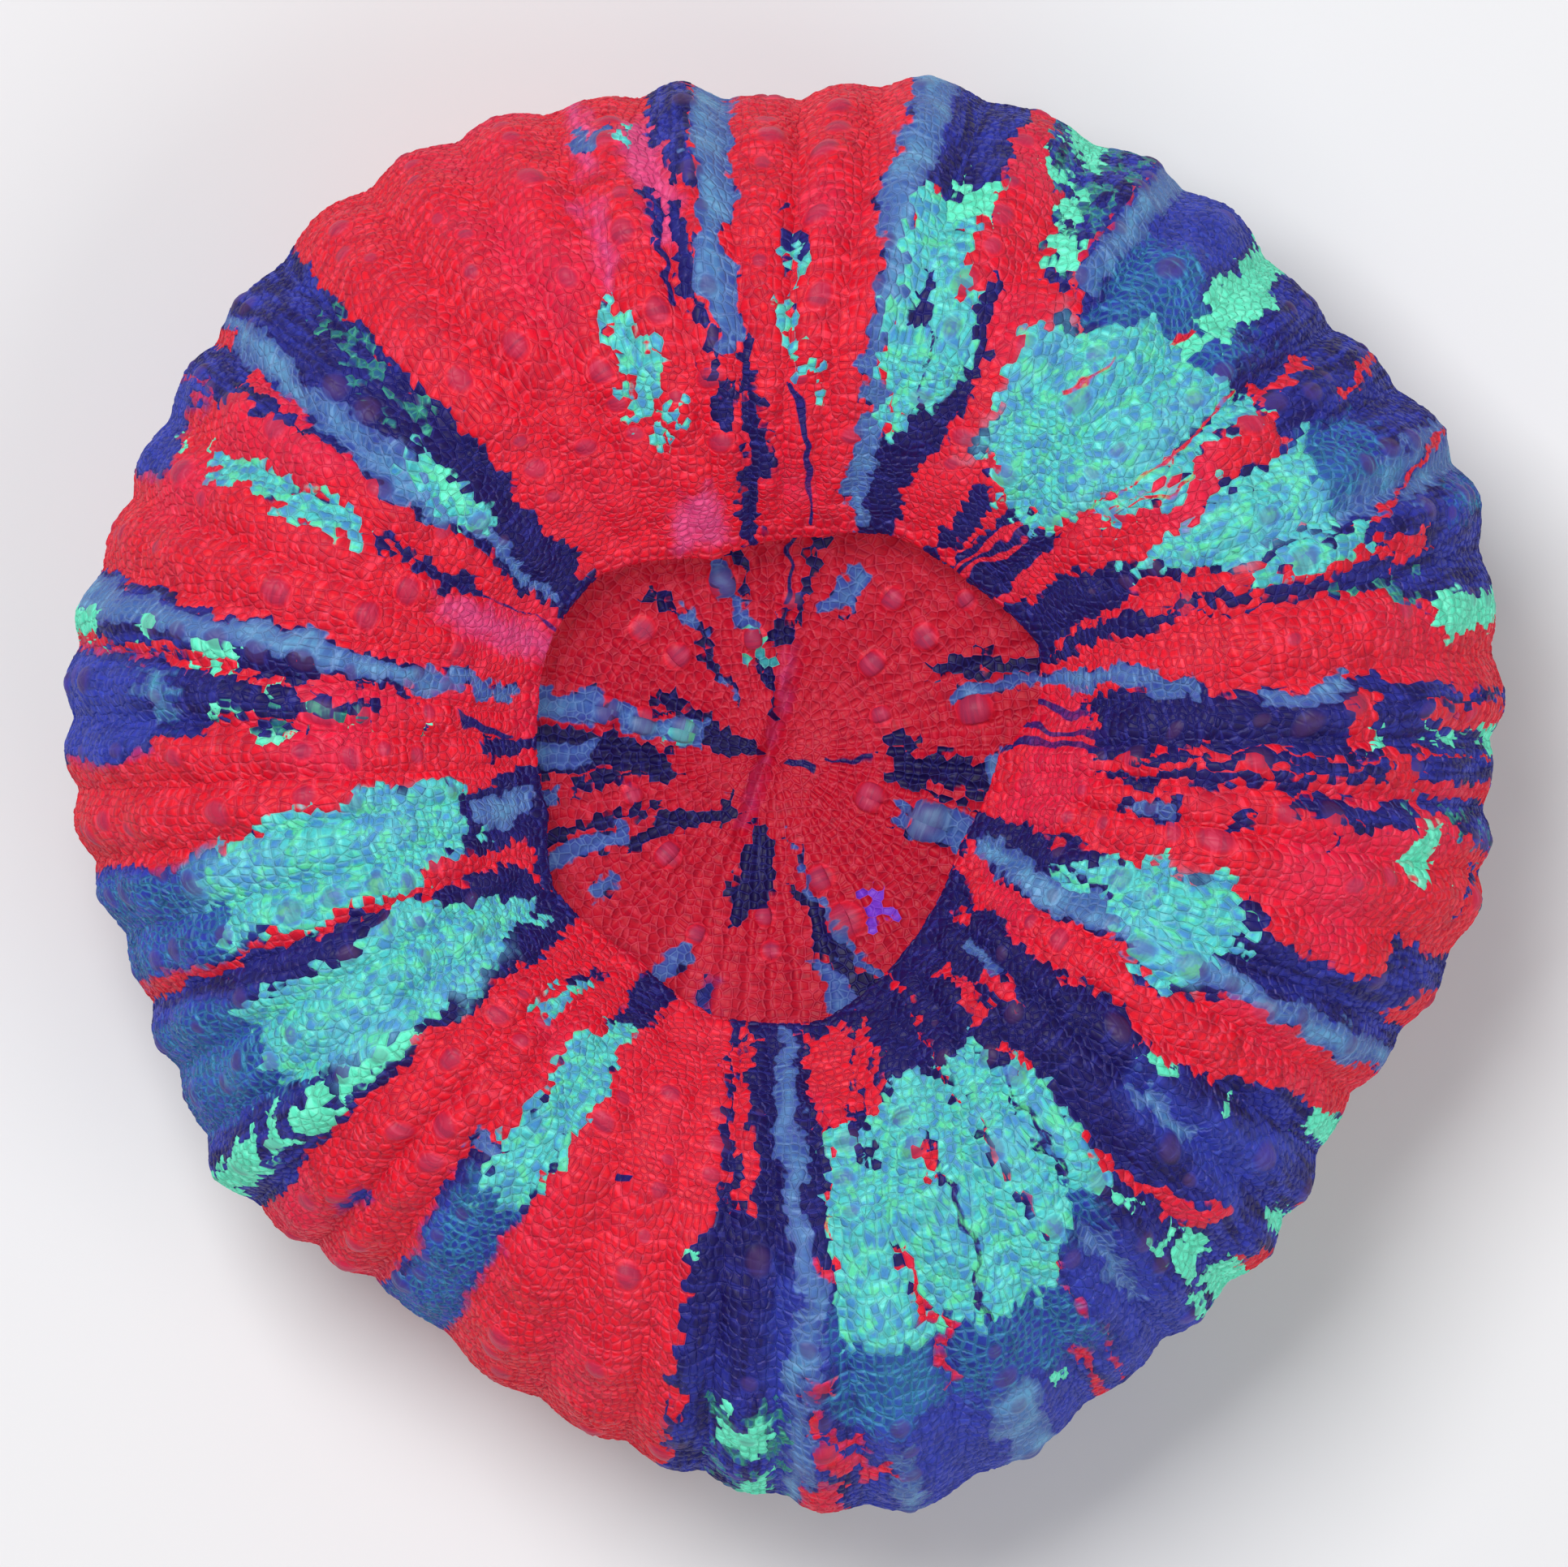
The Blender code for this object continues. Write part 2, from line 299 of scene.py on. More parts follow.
def ridge_lift(angle, ring):
    """How far the flesh stands out from its side view on the ridges and teeth of the mantle."""
    arc = np.clip((ring - MANTLE_RING) / MANTLE_RINGS, 0.0, 1.0)
    strength = np.sin(np.pi * np.minimum(1.0, 0.08 + 0.92 * arc)) ** 0.7
    strength *= step_up(ring, LIP_RING, MANTLE_RING + 1)
    crest = ridge_shape(angle)
    neighbour = np.pi * np.round(ridge_count(angle))
    tooth = np.cos(2.0 * np.pi * TEETH_PER_RIDGE * arc + neighbour)
    return strength * (RIDGE_HEIGHT * (crest - 0.7) + TOOTH_HEIGHT * tooth * crest)


def bell(distance, width):
    """One at nought, fading smoothly beyond the width."""
    return np.exp(-((distance / width) ** 2))


def mouth_lift(x, y):
    """The slit of the mouth, with a raised line on both sides of a groove."""
    along = x * math.cos(MOUTH_TURN) + y * math.sin(MOUTH_TURN)
    across = y * math.cos(MOUTH_TURN) - x * math.sin(MOUTH_TURN)
    ends = 1.0 / (1.0 + (along / MOUTH_HALF_LENGTH) ** 6)
    groove = GROOVE_DEPTH * bell(across, GROOVE_WIDTH)
    lips = MOUTH_LIP_HEIGHT * bell(np.abs(across) - MOUTH_LIP_AT, MOUTH_LIP_WIDTH)
    return ends * (lips - groove)


def lifted(angle, ring):
    """Places in millimetres for points of the sheet."""
    _, _, _, height, centre_share = along_side(ring)
    small = 0.05
    reach = base_reach(angle, ring)
    run = base_reach(angle, ring + small) - base_reach(angle, ring - small)
    fall = along_side(ring + small)[3] - along_side(ring - small)[3]
    length = np.maximum(np.hypot(run, fall), 1e-6)
    lift = ridge_lift(angle, ring)
    arc = np.clip((ring - MANTLE_RING) / MANTLE_RINGS, 0.0, 1.0)
    rise = swell(angle) * np.sin(np.pi * np.minimum(1.0, 0.1 + 0.9 * arc))
    rise *= step_up(ring, LIP_RING, MANTLE_RING + 1)
    reach_out = reach - lift * fall / length
    x = reach_out * np.cos(np.radians(angle))
    y = reach_out * np.sin(np.radians(angle))
    on_disc = 1.0 - step_up(ring, GROOVE_RING - 1.5, GROOVE_RING)
    wrinkle = WRINKLE_HEIGHT * (ridge_shape(angle) - 0.5) * np.minimum(1.0, ring / 6.0)
    z = height + lift * run / length + rise + on_disc * (wrinkle + mouth_lift(x, y))
    return np.stack((MOUTH_X * centre_share + x, MOUTH_Y * centre_share + y, z), axis=1)


def write_places(piece, places):
    """Moves a piece's points to these places, given in millimetres."""
    piece.data.vertices.foreach_set("co", (places * MM).ravel())
    piece.data.update()


def read_normals(piece):
    """The direction in which the surface faces at every point."""
    normals = np.empty(3 * len(piece.data.vertices))
    piece.data.vertex_normals.foreach_get("vector", normals)
    return normals.reshape(-1, 3)


places = lifted(sheet_angle, sheet_ring)
write_places(flesh, places)
if read_normals(flesh)[:, 2].mean() < 0.0:
    flesh.data.flip_normals()
print("Lifted to", np.round(places.min(axis=0), 1), np.round(places.max(axis=0), 1))

# %% [markdown]
# ## Where each colour lies
# The colours of the living coral run out from the mouth like strokes of a brush: a red ground with
# streaks of navy, blue, steel, cyan and mint. So they are painted one stroke after the other, and a
# later stroke covers an earlier one. A stroke is a colour and a few rows from the mouth outwards,
# and a row is a reach in millimetres and the two angles between which it is wet.

# %% Strokes on the mantle, a sixth of the way round at a time
STROKES_0 = (
    ("navy", (33.0, 22, 57), (42, 22, 57)),
    ("navy", (27.5, 26, 33), (30, 23, 56), (33.5, 22.5, 57)),
    ("navy", (10, 34, 52), (16.7, 33.5, 52.5), (19.4, 36, 51.5)),
    ("navy", (14, 19, 34), (20, 18, 30), (28, 17, 24), (31.5, 15.5, 23), (36, 13.5, 23), (42, 10.5, 23)),
    ("navy", (18, -0.5, 9.5), (21.6, 0, 11.5), (24.8, 0, 7.5), (31.5, 0, 7.5), (34.3, 0, 6.5), (42, 0, 4.5)),
    ("dark_vein", (10, 0.5, 2), (19.4, 1, 2.5)),
    ("dark_vein", (10, 4, 5.5), (19, 3.5, 5)),
    ("dark_vein", (10, 8, 9.5), (18, 7.5, 9)),
    ("blue", (32.5, 47, 57), (42, 47, 57)),
    ("steel", (31, 54, 56.5), (39.2, 54, 56.5)),
    ("steel", (34.3, 22, 26), (40.6, 22, 26)),
    ("speck", (30, 38, 54.5), (35.5, 39, 54.5)),
    ("cyan", (18.7, 40.5, 43), (19.8, 38, 51), (20.3, 37.6, 54), (22.5, 37, 56.5), (24.8, 37, 57.5),
     (27.5, 37, 58), (28.8, 37, 56), (30.9, 37.3, 50), (31.8, 37.6, 43), (33.1, 37.8, 38.5)),
    ("aqua", (20.3, 53, 57), (29.7, 53, 57)),
    ("aqua", (21.6, 37.5, 41.5), (31.5, 37.5, 41.5)),
    ("cyan", (22.5, 34.5, 37), (33.1, 34.5, 37)),
    ("cyan", (21.6, 31.5, 34), (30.2, 31.5, 34)),
    ("mint", (34, 41, 45.5), (35.6, 42, 46.5), (37, 42, 47), (38, 43.5, 46.5)),
    ("mint", (31.1, 43.3, 44.8), (33.6, 42.5, 44.5)),
    ("red", (20.3, 30.5, 34), (23.4, 29, 32.5), (27, 29.5, 32), (30.2, 30.5, 35), (33.4, 31, 34.5)),
    ("red_vein", (15.5, 32.7, 34.3), (22.5, 35.4, 36.6)),
    ("red_vein", (21.5, 35.8, 36.3), (33.1, 37.2, 37.7)),
    ("red_vein", (21.2, 32.7, 33.3), (31, 33.8, 34.3)),
    ("red_vein", (25.2, 49.3, 49.8), (28.8, 49.3, 49.8)),
    ("red_vein", (31.1, 44.8, 45.3), (33.4, 44.8, 45.3)),
    ("red", (33.4, 36, 37), (36, 36, 37)),
    ("red", (37, 32.5, 33.5), (39.7, 32.5, 33.5)),
    ("red", (10, 46, 48), (19.4, 46, 48)),
    ("red_vein", (10, 42.4, 43.6), (18.9, 42.4, 43.6)),
    ("red_vein", (10, 40, 41.3), (18.2, 40, 41.3)),
    ("speck", (33, 22.5, 31), (38, 24.5, 31)),
    ("cyan", (22.5, 26, 27), (25.2, 24.5, 28.2), (27.9, 22.7, 29), (31, 22, 30), (34.3, 22, 30.5)),
    ("aqua", (27, 22, 25), (34, 22, 25)),
    ("red", (35.2, 20.7, 21.3), (37, 22.7, 23.3), (41.5, 24.4, 25.2)),
    ("cyan", (28.4, 18.7, 21.3), (32, 18.5, 21.6), (35.2, 19, 21.3)),
    ("red", (24.3, 17.5, 18.7), (36, 17.5, 18.7)),
    ("red", (36, 17, 19.5), (37.9, 17, 19.5)),
    ("red", (16.7, 19.5, 20.5), (19.4, 22.3, 23.7), (23.4, 20, 23.5), (28.4, 19.5, 22)),
    ("steel", (13, 14, 17), (18.9, 11.8, 15.2), (21.2, 9.5, 12.5), (23.9, 7, 9.5)),
    ("steel", (27.9, 5.5, 7.3), (32.3, 6, 8)),
    ("mint", (38.3, 10, 14), (41, 10.5, 13.5)),
    ("fleck", (32.5, 13.2, 16), (37, 13, 15.8)),
    ("speck", (40.1, 18.5, 22), (41.4, 18.5, 22)),
    ("mint", (39.2, 0.3, 2.4), (40.1, 0.3, 2.4)),
    ("mint", (37, 1, 2), (38.3, 1, 2)),
    ("mint", (32.5, 0.6, 1.6), (33.8, 0.6, 1.6)),
    ("red", (37, 2.5, 4), (40.6, 2.5, 4)),
    ("red", (31.5, 1, 5), (33.4, 1, 5)),
)
STROKES_60 = (
    ("lilac", (28, 99, 103), (36, 99, 104)),
    ("lilac", (34, 106, 108), (38, 106, 108)),
    ("lilac", (27, 107, 109), (32.5, 107, 109)),
    ("lilac", (12, 98, 112), (13.5, 100, 112), (15.3, 102, 108)),
    ("navy", (10, 60, 71), (14.4, 60, 70.5), (17.1, 62, 72), (19.4, 60, 68), (22.5, 61, 66),
     (25.2, 61.5, 65), (28.6, 63, 64.3)),
    ("navy", (32, 68, 76), (34, 68, 77), (42, 67, 78)),
    ("navy", (30.6, 57, 60.5), (32.5, 57, 61.5), (34.5, 57, 62.5), (36, 57, 64.5), (42, 57, 66.3)),
    ("steel", (13.5, 68, 71), (16.7, 69, 73), (19, 71, 74), (22.5, 74, 76), (25.5, 74, 76),
     (27, 73.5, 77.5), (31.5, 74.2, 77.8), (42, 74.5, 78)),
    ("cyan", (18.7, 67.5, 71.5), (20.7, 67, 73), (22.5, 64, 74), (24.8, 65, 75), (27, 66, 75),
     (29.3, 67.5, 75), (31.5, 70, 75), (32.2, 71, 74)),
    ("cyan", (20.3, 64, 67.5), (24, 63.7, 68), (27.9, 64, 68)),
    ("navy", (25, 69.5, 71.5), (26.5, 69, 72), (27.9, 70, 71.5)),
    ("dark_vein", (20.3, 66.2, 66.8), (25.2, 69.2, 69.8)),
    ("mint", (31.8, 68, 71), (33.8, 68, 71)),
    ("fleck", (31, 57.5, 64), (38.5, 57.5, 65)),
    ("mint", (37.4, 60, 64), (38.3, 60, 64)),
    ("mint", (35.4, 60, 64.5), (36.1, 60, 64.5)),
    ("mint", (33.4, 59.8, 62), (34.9, 59.8, 62)),
    ("mint", (31.5, 57, 61), (32.9, 57, 61)),
    ("navy", (10, 90, 95), (15.3, 90, 95), (18, 91.5, 95.5), (20, 92, 95), (22.6, 92.3, 95)),
    ("steel", (22.8, 93, 97), (24.3, 94, 98), (27, 93.5, 98.5), (28.8, 94.5, 96.5), (31.5, 93.5, 97.5),
     (33.8, 93, 97), (38.5, 92.5, 96.5)),
    ("navy", (24.3, 98.5, 101), (29.7, 98.5, 101)),
    ("navy", (21.6, 97.5, 99), (23.9, 97.5, 99)),
    ("navy", (18, 95.5, 98), (21.2, 95.5, 98)),
    ("navy", (31.1, 97, 99), (34.3, 97, 99), (34.7, 97, 100.5), (38.5, 97, 100.5)),
    ("navy", (28.8, 101.5, 103), (31.1, 101.5, 103)),
    ("dark_vein", (25.2, 102.2, 102.9), (28.8, 102.2, 102.9)),
    ("dark_vein", (30, 88, 88.8), (30.6, 88, 88.8)),
    ("navy", (27, 85, 88), (27.9, 85, 88)),
    ("dark_vein", (13.5, 79.3, 80.7), (15.8, 82.3, 83.7), (18, 83.3, 84.7), (19.8, 85.3, 86.7)),
    ("cyan", (25.2, 85.8, 87.5), (27.3, 85.8, 87.5)),
    ("cyan", (20.5, 83.8, 85.2), (24.6, 87.2, 88.8)),
    ("cyan", (20.3, 82, 84.5), (21.2, 82, 84.5)),
    ("cyan", (34.9, 103, 103.8), (35.6, 103, 103.8)),
    ("cyan", (19.8, 106.5, 111), (20.1, 106.5, 112), (21.6, 105.5, 110.5), (23, 105.7, 111),
     (24.8, 107, 111), (26.6, 108, 109)),
    ("cyan", (18.7, 103, 106.3), (19.8, 103, 106.3)),
    ("cyan", (18.2, 108.5, 109.5), (18.9, 108.5, 109.5)),
    ("steel", (35, 104.5, 107.8), (35.7, 104.5, 107.8)),
)
STROKES_120 = (
    ("lilac", (12.5, 151, 160), (16, 152.5, 159), (20.5, 153.5, 157)),
    ("navy", (10, 131.5, 145.5), (18, 134, 147), (20.3, 132, 146), (24.8, 132, 145.5), (29.3, 133.5, 145),
     (35.2, 134, 146), (42, 132, 147)),
    ("fleck", (25.5, 133.5, 140), (30, 134, 139), (35, 133.5, 137)),
    ("steel", (14.9, 142, 144.2), (18, 142, 144.5), (21.2, 140.5, 145), (23.4, 140, 145.5),
     (26, 140.5, 144.8), (29.3, 141, 144.3), (31.5, 140.5, 143.5), (42, 139.8, 142.5)),
    ("cyan", (19.8, 140, 143.5), (22, 139, 143.6), (25.4, 138.8, 142.6)),
    ("mint", (22.5, 139.3, 141.5), (24.5, 139.3, 141.5)),
    ("red", (13.8, 146, 150), (36.5, 146, 150)),
    ("red", (37.4, 143, 146), (38.3, 143, 146)),
    ("red", (37, 141.5, 143.5), (38.1, 141.5, 143.5)),
    ("red", (31.5, 143, 145), (35.6, 143, 145)),
    ("navy", (35.6, 143.5, 147), (37.9, 143.5, 147)),
    ("navy", (31.5, 144.5, 145.5), (36, 144.5, 145.5)),
    ("cyan", (24.8, 151, 153), (26.1, 149.5, 152.5), (27.9, 148.5, 153), (29.3, 149.5, 153),
     (31.5, 150.5, 153.5), (33.4, 151, 154.5), (34.3, 151.5, 154)),
    ("mint", (36.5, 151.5, 153), (37.6, 151.5, 153)),
    ("mint", (34.7, 150, 152), (35.2, 150, 152)),
    ("navy", (17.5, 149.6, 151.6), (21, 150.3, 152.6), (24.3, 150.7, 151.8)),
    ("dark_vein", (13.6, 150.3, 151.2), (18, 150.5, 151.4)),
    ("blue", (37, 147, 155), (42, 147, 155)),
    ("navy", (20, 166, 170.5), (26, 165.5, 171), (31, 165.5, 171), (42, 164.5, 171)),
    ("steel", (14.4, 166, 168), (15.8, 166, 168), (18, 166, 169.5), (21.6, 166.5, 169), (24.8, 165.5, 170),
     (27.9, 165.5, 168), (32.5, 166, 169), (42, 165, 168)),
    ("mint", (37.2, 168, 171), (38.1, 168, 171)),
    ("mint", (34.7, 168, 169.8), (35.2, 168, 169.8)),
    ("mint", (29.5, 168.5, 171), (32, 168.5, 171)),
    ("navy", (21.6, 173.5, 175.5), (24.8, 173.5, 175.5), (27, 171, 175), (29.3, 170.5, 176),
     (31.5, 171.5, 178), (36, 171.5, 180), (42, 172, 180.5)),
    ("red", (22.5, 170, 173), (25.2, 170, 173)),
    ("red", (27, 170.2, 171), (37.9, 170.4, 171.2)),
    ("steel", (32.9, 172.5, 177), (35.6, 172.5, 177)),
    ("speck", (32.9, 172.5, 177), (35.6, 172.5, 177)),
    ("mint", (25.2, 175.5, 178), (28.2, 175.5, 178)),
    ("mint", (30, 175, 176), (30.4, 175, 176)),
    ("mint", (22.3, 176.5, 177.5), (22.8, 176.5, 177.5)),
    ("mint", (18.7, 175, 177), (19.1, 175, 177)),
    ("mint", (27.7, 171, 172), (28.2, 171, 172)),
    ("dark_vein", (14, 175.5, 177.3), (16.8, 171.3, 172.6)),
    ("navy", (13.6, 177, 180), (15, 176, 179)),
    ("blue", (34, 171.5, 180.5), (42, 171.5, 180.5)),
    ("fleck", (18, 174, 178), (30, 174.5, 178)),
)
STROKES_180 = (
    ("navy", (10, 184, 222), (14.4, 183.5, 222), (15.8, 187, 221.5), (18, 185, 221), (22.5, 185.5, 219.5),
     (24.8, 186.5, 219.5), (26.6, 187, 221), (29.3, 189.5, 220.5), (33.4, 191, 221), (35.2, 190, 222),
     (42, 191, 222)),
    ("blue", (31.5, 190, 200), (42, 190.5, 200)),
    ("blue", (33.4, 203, 215), (42, 203, 216)),
    ("speck", (30, 190, 200), (37, 191, 200)),
    ("cyan", (16.7, 187, 195), (18, 186, 199), (20.3, 186, 200), (22.5, 185.5, 200), (24.8, 186, 200),
     (28.8, 189, 200), (31.1, 190, 199)),
    ("aqua", (19.4, 186, 194), (23.4, 186, 194)),
    ("aqua", (27, 190, 195), (32.5, 190, 195)),
    ("steel", (13.5, 189, 194), (16.2, 189, 194)),
    ("speck", (31, 204, 215), (36.5, 204, 215)),
    ("cyan", (15.3, 212, 216), (18, 207, 218), (20.3, 202, 218.5), (22.5, 201.5, 218), (25.2, 206, 217),
     (27.9, 206, 217), (30.2, 205.5, 215), (32.5, 206, 214)),
    ("aqua", (24.3, 212, 219), (29.7, 212, 219)),
    ("aqua", (18, 214, 219), (22.5, 214, 219)),
    ("red", (14.4, 200, 209), (15.8, 199, 203), (19.8, 199, 202.5), (20.3, 200, 201.2), (31, 200, 201.2),
     (42, 200, 202)),
    ("mint", (24.1, 217, 219.5), (29.5, 217, 219.5)),
    ("mint", (30.2, 216.5, 220), (32.5, 216.5, 220)),
    ("mint", (33.4, 215.5, 220), (34.5, 215.5, 220)),
    ("mint", (35.2, 217, 220), (38.1, 217, 220)),
    ("navy", (15.8, 229, 232), (16.7, 229, 232)),
    ("cyan", (16.7, 228, 231.5), (18.3, 228, 231.5)),
    ("blue", (33.4, 226, 227.5), (34.7, 226, 227.5)),
    ("navy", (10, 240, 252), (14.4, 240, 250), (15.3, 240, 248), (17.1, 239, 245), (18, 238, 243),
     (20.3, 236.5, 244.5), (23.4, 235.5, 242), (25.2, 235, 243.5), (27, 233.8, 243), (31.1, 234, 241),
     (42, 234.5, 240)),
    ("blue", (29, 234, 242), (42, 234.5, 240)),
    ("speck", (27.5, 235, 242), (36, 234.5, 240.5)),
    ("cyan", (17.6, 239, 243), (18, 238, 243.5), (20.7, 236, 245), (22.5, 236, 244), (24.3, 235, 242),
     (26.1, 235, 243.5), (28.8, 237, 241)),
    ("steel", (25.7, 232.5, 235.5), (27, 232.5, 235.5)),
)
STROKES_240 = (
    ("navy", (10, 264, 276), (20.3, 263, 278), (27, 263, 278), (31.5, 261, 278), (33.8, 262, 278),
     (36, 261, 278), (38.3, 261.5, 280), (43, 262, 300)),
    ("red", (15.8, 264.5, 266), (18, 264.5, 266), (19.8, 265, 268), (25.2, 265, 267.5)),
    ("blue", (27.5, 270, 276.5), (43, 270, 275.5)),
    ("steel", (14.9, 272.5, 275.5), (18.9, 272, 276), (21.6, 272, 275.5), (24.8, 272.7, 274.7),
     (28.5, 272.5, 275.5), (31.5, 272.2, 275.5), (43, 271.3, 273.6)),
    ("navy", (10, 276, 300), (21, 276, 300)),
    ("red", (15.3, 277, 286), (21.2, 278.5, 285.5)),
    ("red", (15.8, 286, 289), (20.3, 286, 289)),
    ("blue", (33, 277, 300), (43, 277, 300)),
    ("speck", (31, 275.5, 300), (37.5, 275.5, 300)),
    ("cyan", (18.9, 292, 296), (20.7, 286, 299), (21.2, 278.5, 300), (27, 278, 301), (31.5, 277, 301),
     (33.4, 277, 300)),
    ("navy", (20, 282, 285.5), (23.4, 283, 284.2)),
    ("steel", (37.4, 289, 293), (41.2, 289, 293)),
    ("steel", (38.8, 280, 281.5), (42.4, 280, 281.5)),
    ("dark_vein", (24.3, 292.6, 293.2), (33.4, 291, 291.8)),
    ("red", (23, 290.5, 292), (25.2, 290.5, 292)),
    ("red", (27.9, 284.7, 285.4), (31.5, 285.6, 286.4), (33.4, 288, 289), (34.3, 285.7, 286.5),
     (36, 286, 287.2)),
    ("red", (28.4, 275, 277), (29.7, 275, 277)),
    ("red_vein", (25.2, 277.7, 278.3), (27, 277.7, 278.3)),
    ("red", (40.6, 273, 276), (42.5, 273, 276)),
    ("red", (39.2, 274, 280.5), (40.1, 274, 280.5)),
    ("red", (38.2, 274, 278), (38.9, 274, 278)),
    ("red", (36, 273.5, 275), (38.3, 273.5, 275)),
    ("red", (34.9, 274, 276.5), (35.5, 274, 276.5)),
    ("red", (36.5, 297, 298), (39.7, 297, 298)),
    ("red", (35.6, 261, 263), (37.4, 261, 263)),
    ("dark_vein", (24.2, 251, 254), (24.7, 251, 254)),
    ("fleck", (35.5, 264.5, 271.5), (40.5, 264.5, 271.5)),
    ("mint", (36.5, 265.8, 270), (37.2, 265.3, 270), (38.3, 266.5, 269.4)),
    ("mint", (39.7, 268, 270), (40.3, 268, 270)),
    ("mint", (35.4, 265.5, 266.5), (35.8, 265.5, 266.5)),
    ("mint", (28, 262.5, 263.5), (28.4, 262.5, 263.5)),
    ("mint", (38, 294.5, 295.5), (38.6, 294.5, 295.5)),
)
STROKES_300 = (
    ("navy", (10, 300, 327), (43, 300, 326)),
    ("navy", (10, 324, 344.5), (19.4, 324, 344), (24, 324, 343), (43, 324, 343.5)),
    ("navy", (36.5, 352, 360), (42, 352, 360)),
    ("navy", (18, 355.5, 357), (30, 356, 357.5)),
    ("navy", (20, 358.5, 359.7), (34, 358, 359.5)),
    ("speck", (27.5, 300, 307), (36, 300, 305)),
    ("blue", (32, 300, 307), (42, 300, 307)),
    ("cyan", (21.6, 304.5, 308.5), (22.5, 305, 309), (27, 305, 310), (29.3, 305.5, 308.5), (30.5, 306, 308)),
    ("cyan", (19.6, 300, 306), (26.1, 300, 306.5), (27.9, 300, 305), (31.5, 300, 303)),
    ("dark_vein", (20.3, 305.8, 306.3), (27.9, 305.4, 305.9)),
    ("aqua", (23.4, 300, 305), (27, 300, 305)),
    ("blue", (27, 315.5, 321), (36.5, 315.5, 323)),
    ("steel", (31.5, 303.5, 305), (36, 303.5, 305)),
    ("steel", (27.5, 317, 319.3), (31, 317, 319.3)),
    ("steel", (15.3, 315, 317), (18, 315, 317)),
    ("mint", (38.3, 309, 313), (39, 309, 313)),
    ("mint", (35.2, 308, 312.5), (37.4, 308, 312.5)),
    ("mint", (33.8, 308, 311), (34.7, 308, 311)),
    ("mint", (31.6, 307.5, 308.5), (32, 307.5, 308.5)),
    ("mint", (38.1, 317, 319), (38.9, 317, 319)),
    ("mint", (38.1, 307, 308), (38.6, 307, 308)),
    ("mint", (35.6, 324.5, 327.5), (36.7, 324.5, 327.5)),
    ("mint", (31.3, 322, 324), (31.8, 322, 324)),
    ("mint", (27.5, 321, 323), (27.8, 321, 323)),
    ("red", (27.9, 309, 310), (30.6, 308.5, 309.5), (32, 310, 312), (35.6, 313.5, 315.5)),
    ("red", (20.7, 308, 309.5), (22.5, 308, 309.5)),
    ("red", (14.9, 308, 310), (19.4, 308, 310)),
    ("red", (17.1, 312, 315.5), (19.8, 312, 315.5)),
    ("red", (13, 320, 323.5), (14.4, 320, 323.5)),
    ("red", (38.5, 313, 315), (39, 313, 315)),
    ("red", (38.2, 320, 322), (38.9, 320, 322)),
    ("red", (11.5, 327, 337), (15.3, 326, 331), (17.6, 322, 331), (20.7, 323.5, 333), (22.5, 326, 333),
     (24.3, 325.5, 329), (27, 322, 330.5), (29.3, 323.5, 332.5), (31.5, 325, 333), (37.4, 328, 333.5)),
    ("steel", (12.6, 334, 339), (14.5, 332.5, 339), (17, 331.5, 338), (20.3, 331.8, 337.5), (27, 332, 335.8),
     (30, 332.5, 335), (39.2, 332.7, 334.6)),
    ("red", (37.4, 337, 340), (38.3, 337, 340)),
    ("red", (10, 345, 355), (14, 347, 355), (18, 343, 355), (19.4, 343, 355), (22.5, 345.5, 355),
     (26.1, 345, 355), (27.9, 343, 355), (29.7, 340.5, 355), (31.5, 339, 355), (35.6, 339, 355),
     (36.5, 343.5, 355), (39.2, 343.5, 352)),
    ("cyan", (16.7, 339, 340), (19.8, 337, 342.5), (21.2, 333.5, 344), (23.2, 331.5, 346), (24.6, 329.5, 342),
     (25.7, 330, 345.5), (27, 336, 342), (27.6, 338, 341)),
    ("aqua", (20.8, 333.5, 339), (24, 331.5, 337.5), (27, 330.5, 335.5)),
    ("aqua", (22.5, 343, 345.5), (25.7, 343, 345.5)),
    ("navy", (29.3, 354.6, 355.4), (31.5, 353, 355.5), (36, 353, 355.5)),
    ("navy", (19.8, 351, 353.5), (23, 351, 353.5)),
    ("steel", (20.3, 351.5, 353), (22.5, 351.5, 353)),
    ("navy", (25.7, 350.5, 353), (27, 350.5, 353)),
    ("navy", (31.2, 349.5, 351.5), (31.8, 349.5, 351.5)),
    ("red", (36, 355.5, 357.5), (39.2, 355.5, 357.5)),
    ("mint", (39.9, 347.5, 351), (40.6, 347.5, 351)),
    ("mint", (38.8, 347, 350.5), (39.2, 347, 350.5)),
    ("fleck", (35.5, 348, 356), (39.5, 346.5, 354)),
    ("mint", (36.2, 350, 353.5), (37.2, 350, 353.5)),
)
MANTLE_STROKES = STROKES_0 + STROKES_60 + STROKES_120 + STROKES_180 + STROKES_240 + STROKES_300
print(len(MANTLE_STROKES), "strokes on the mantle")

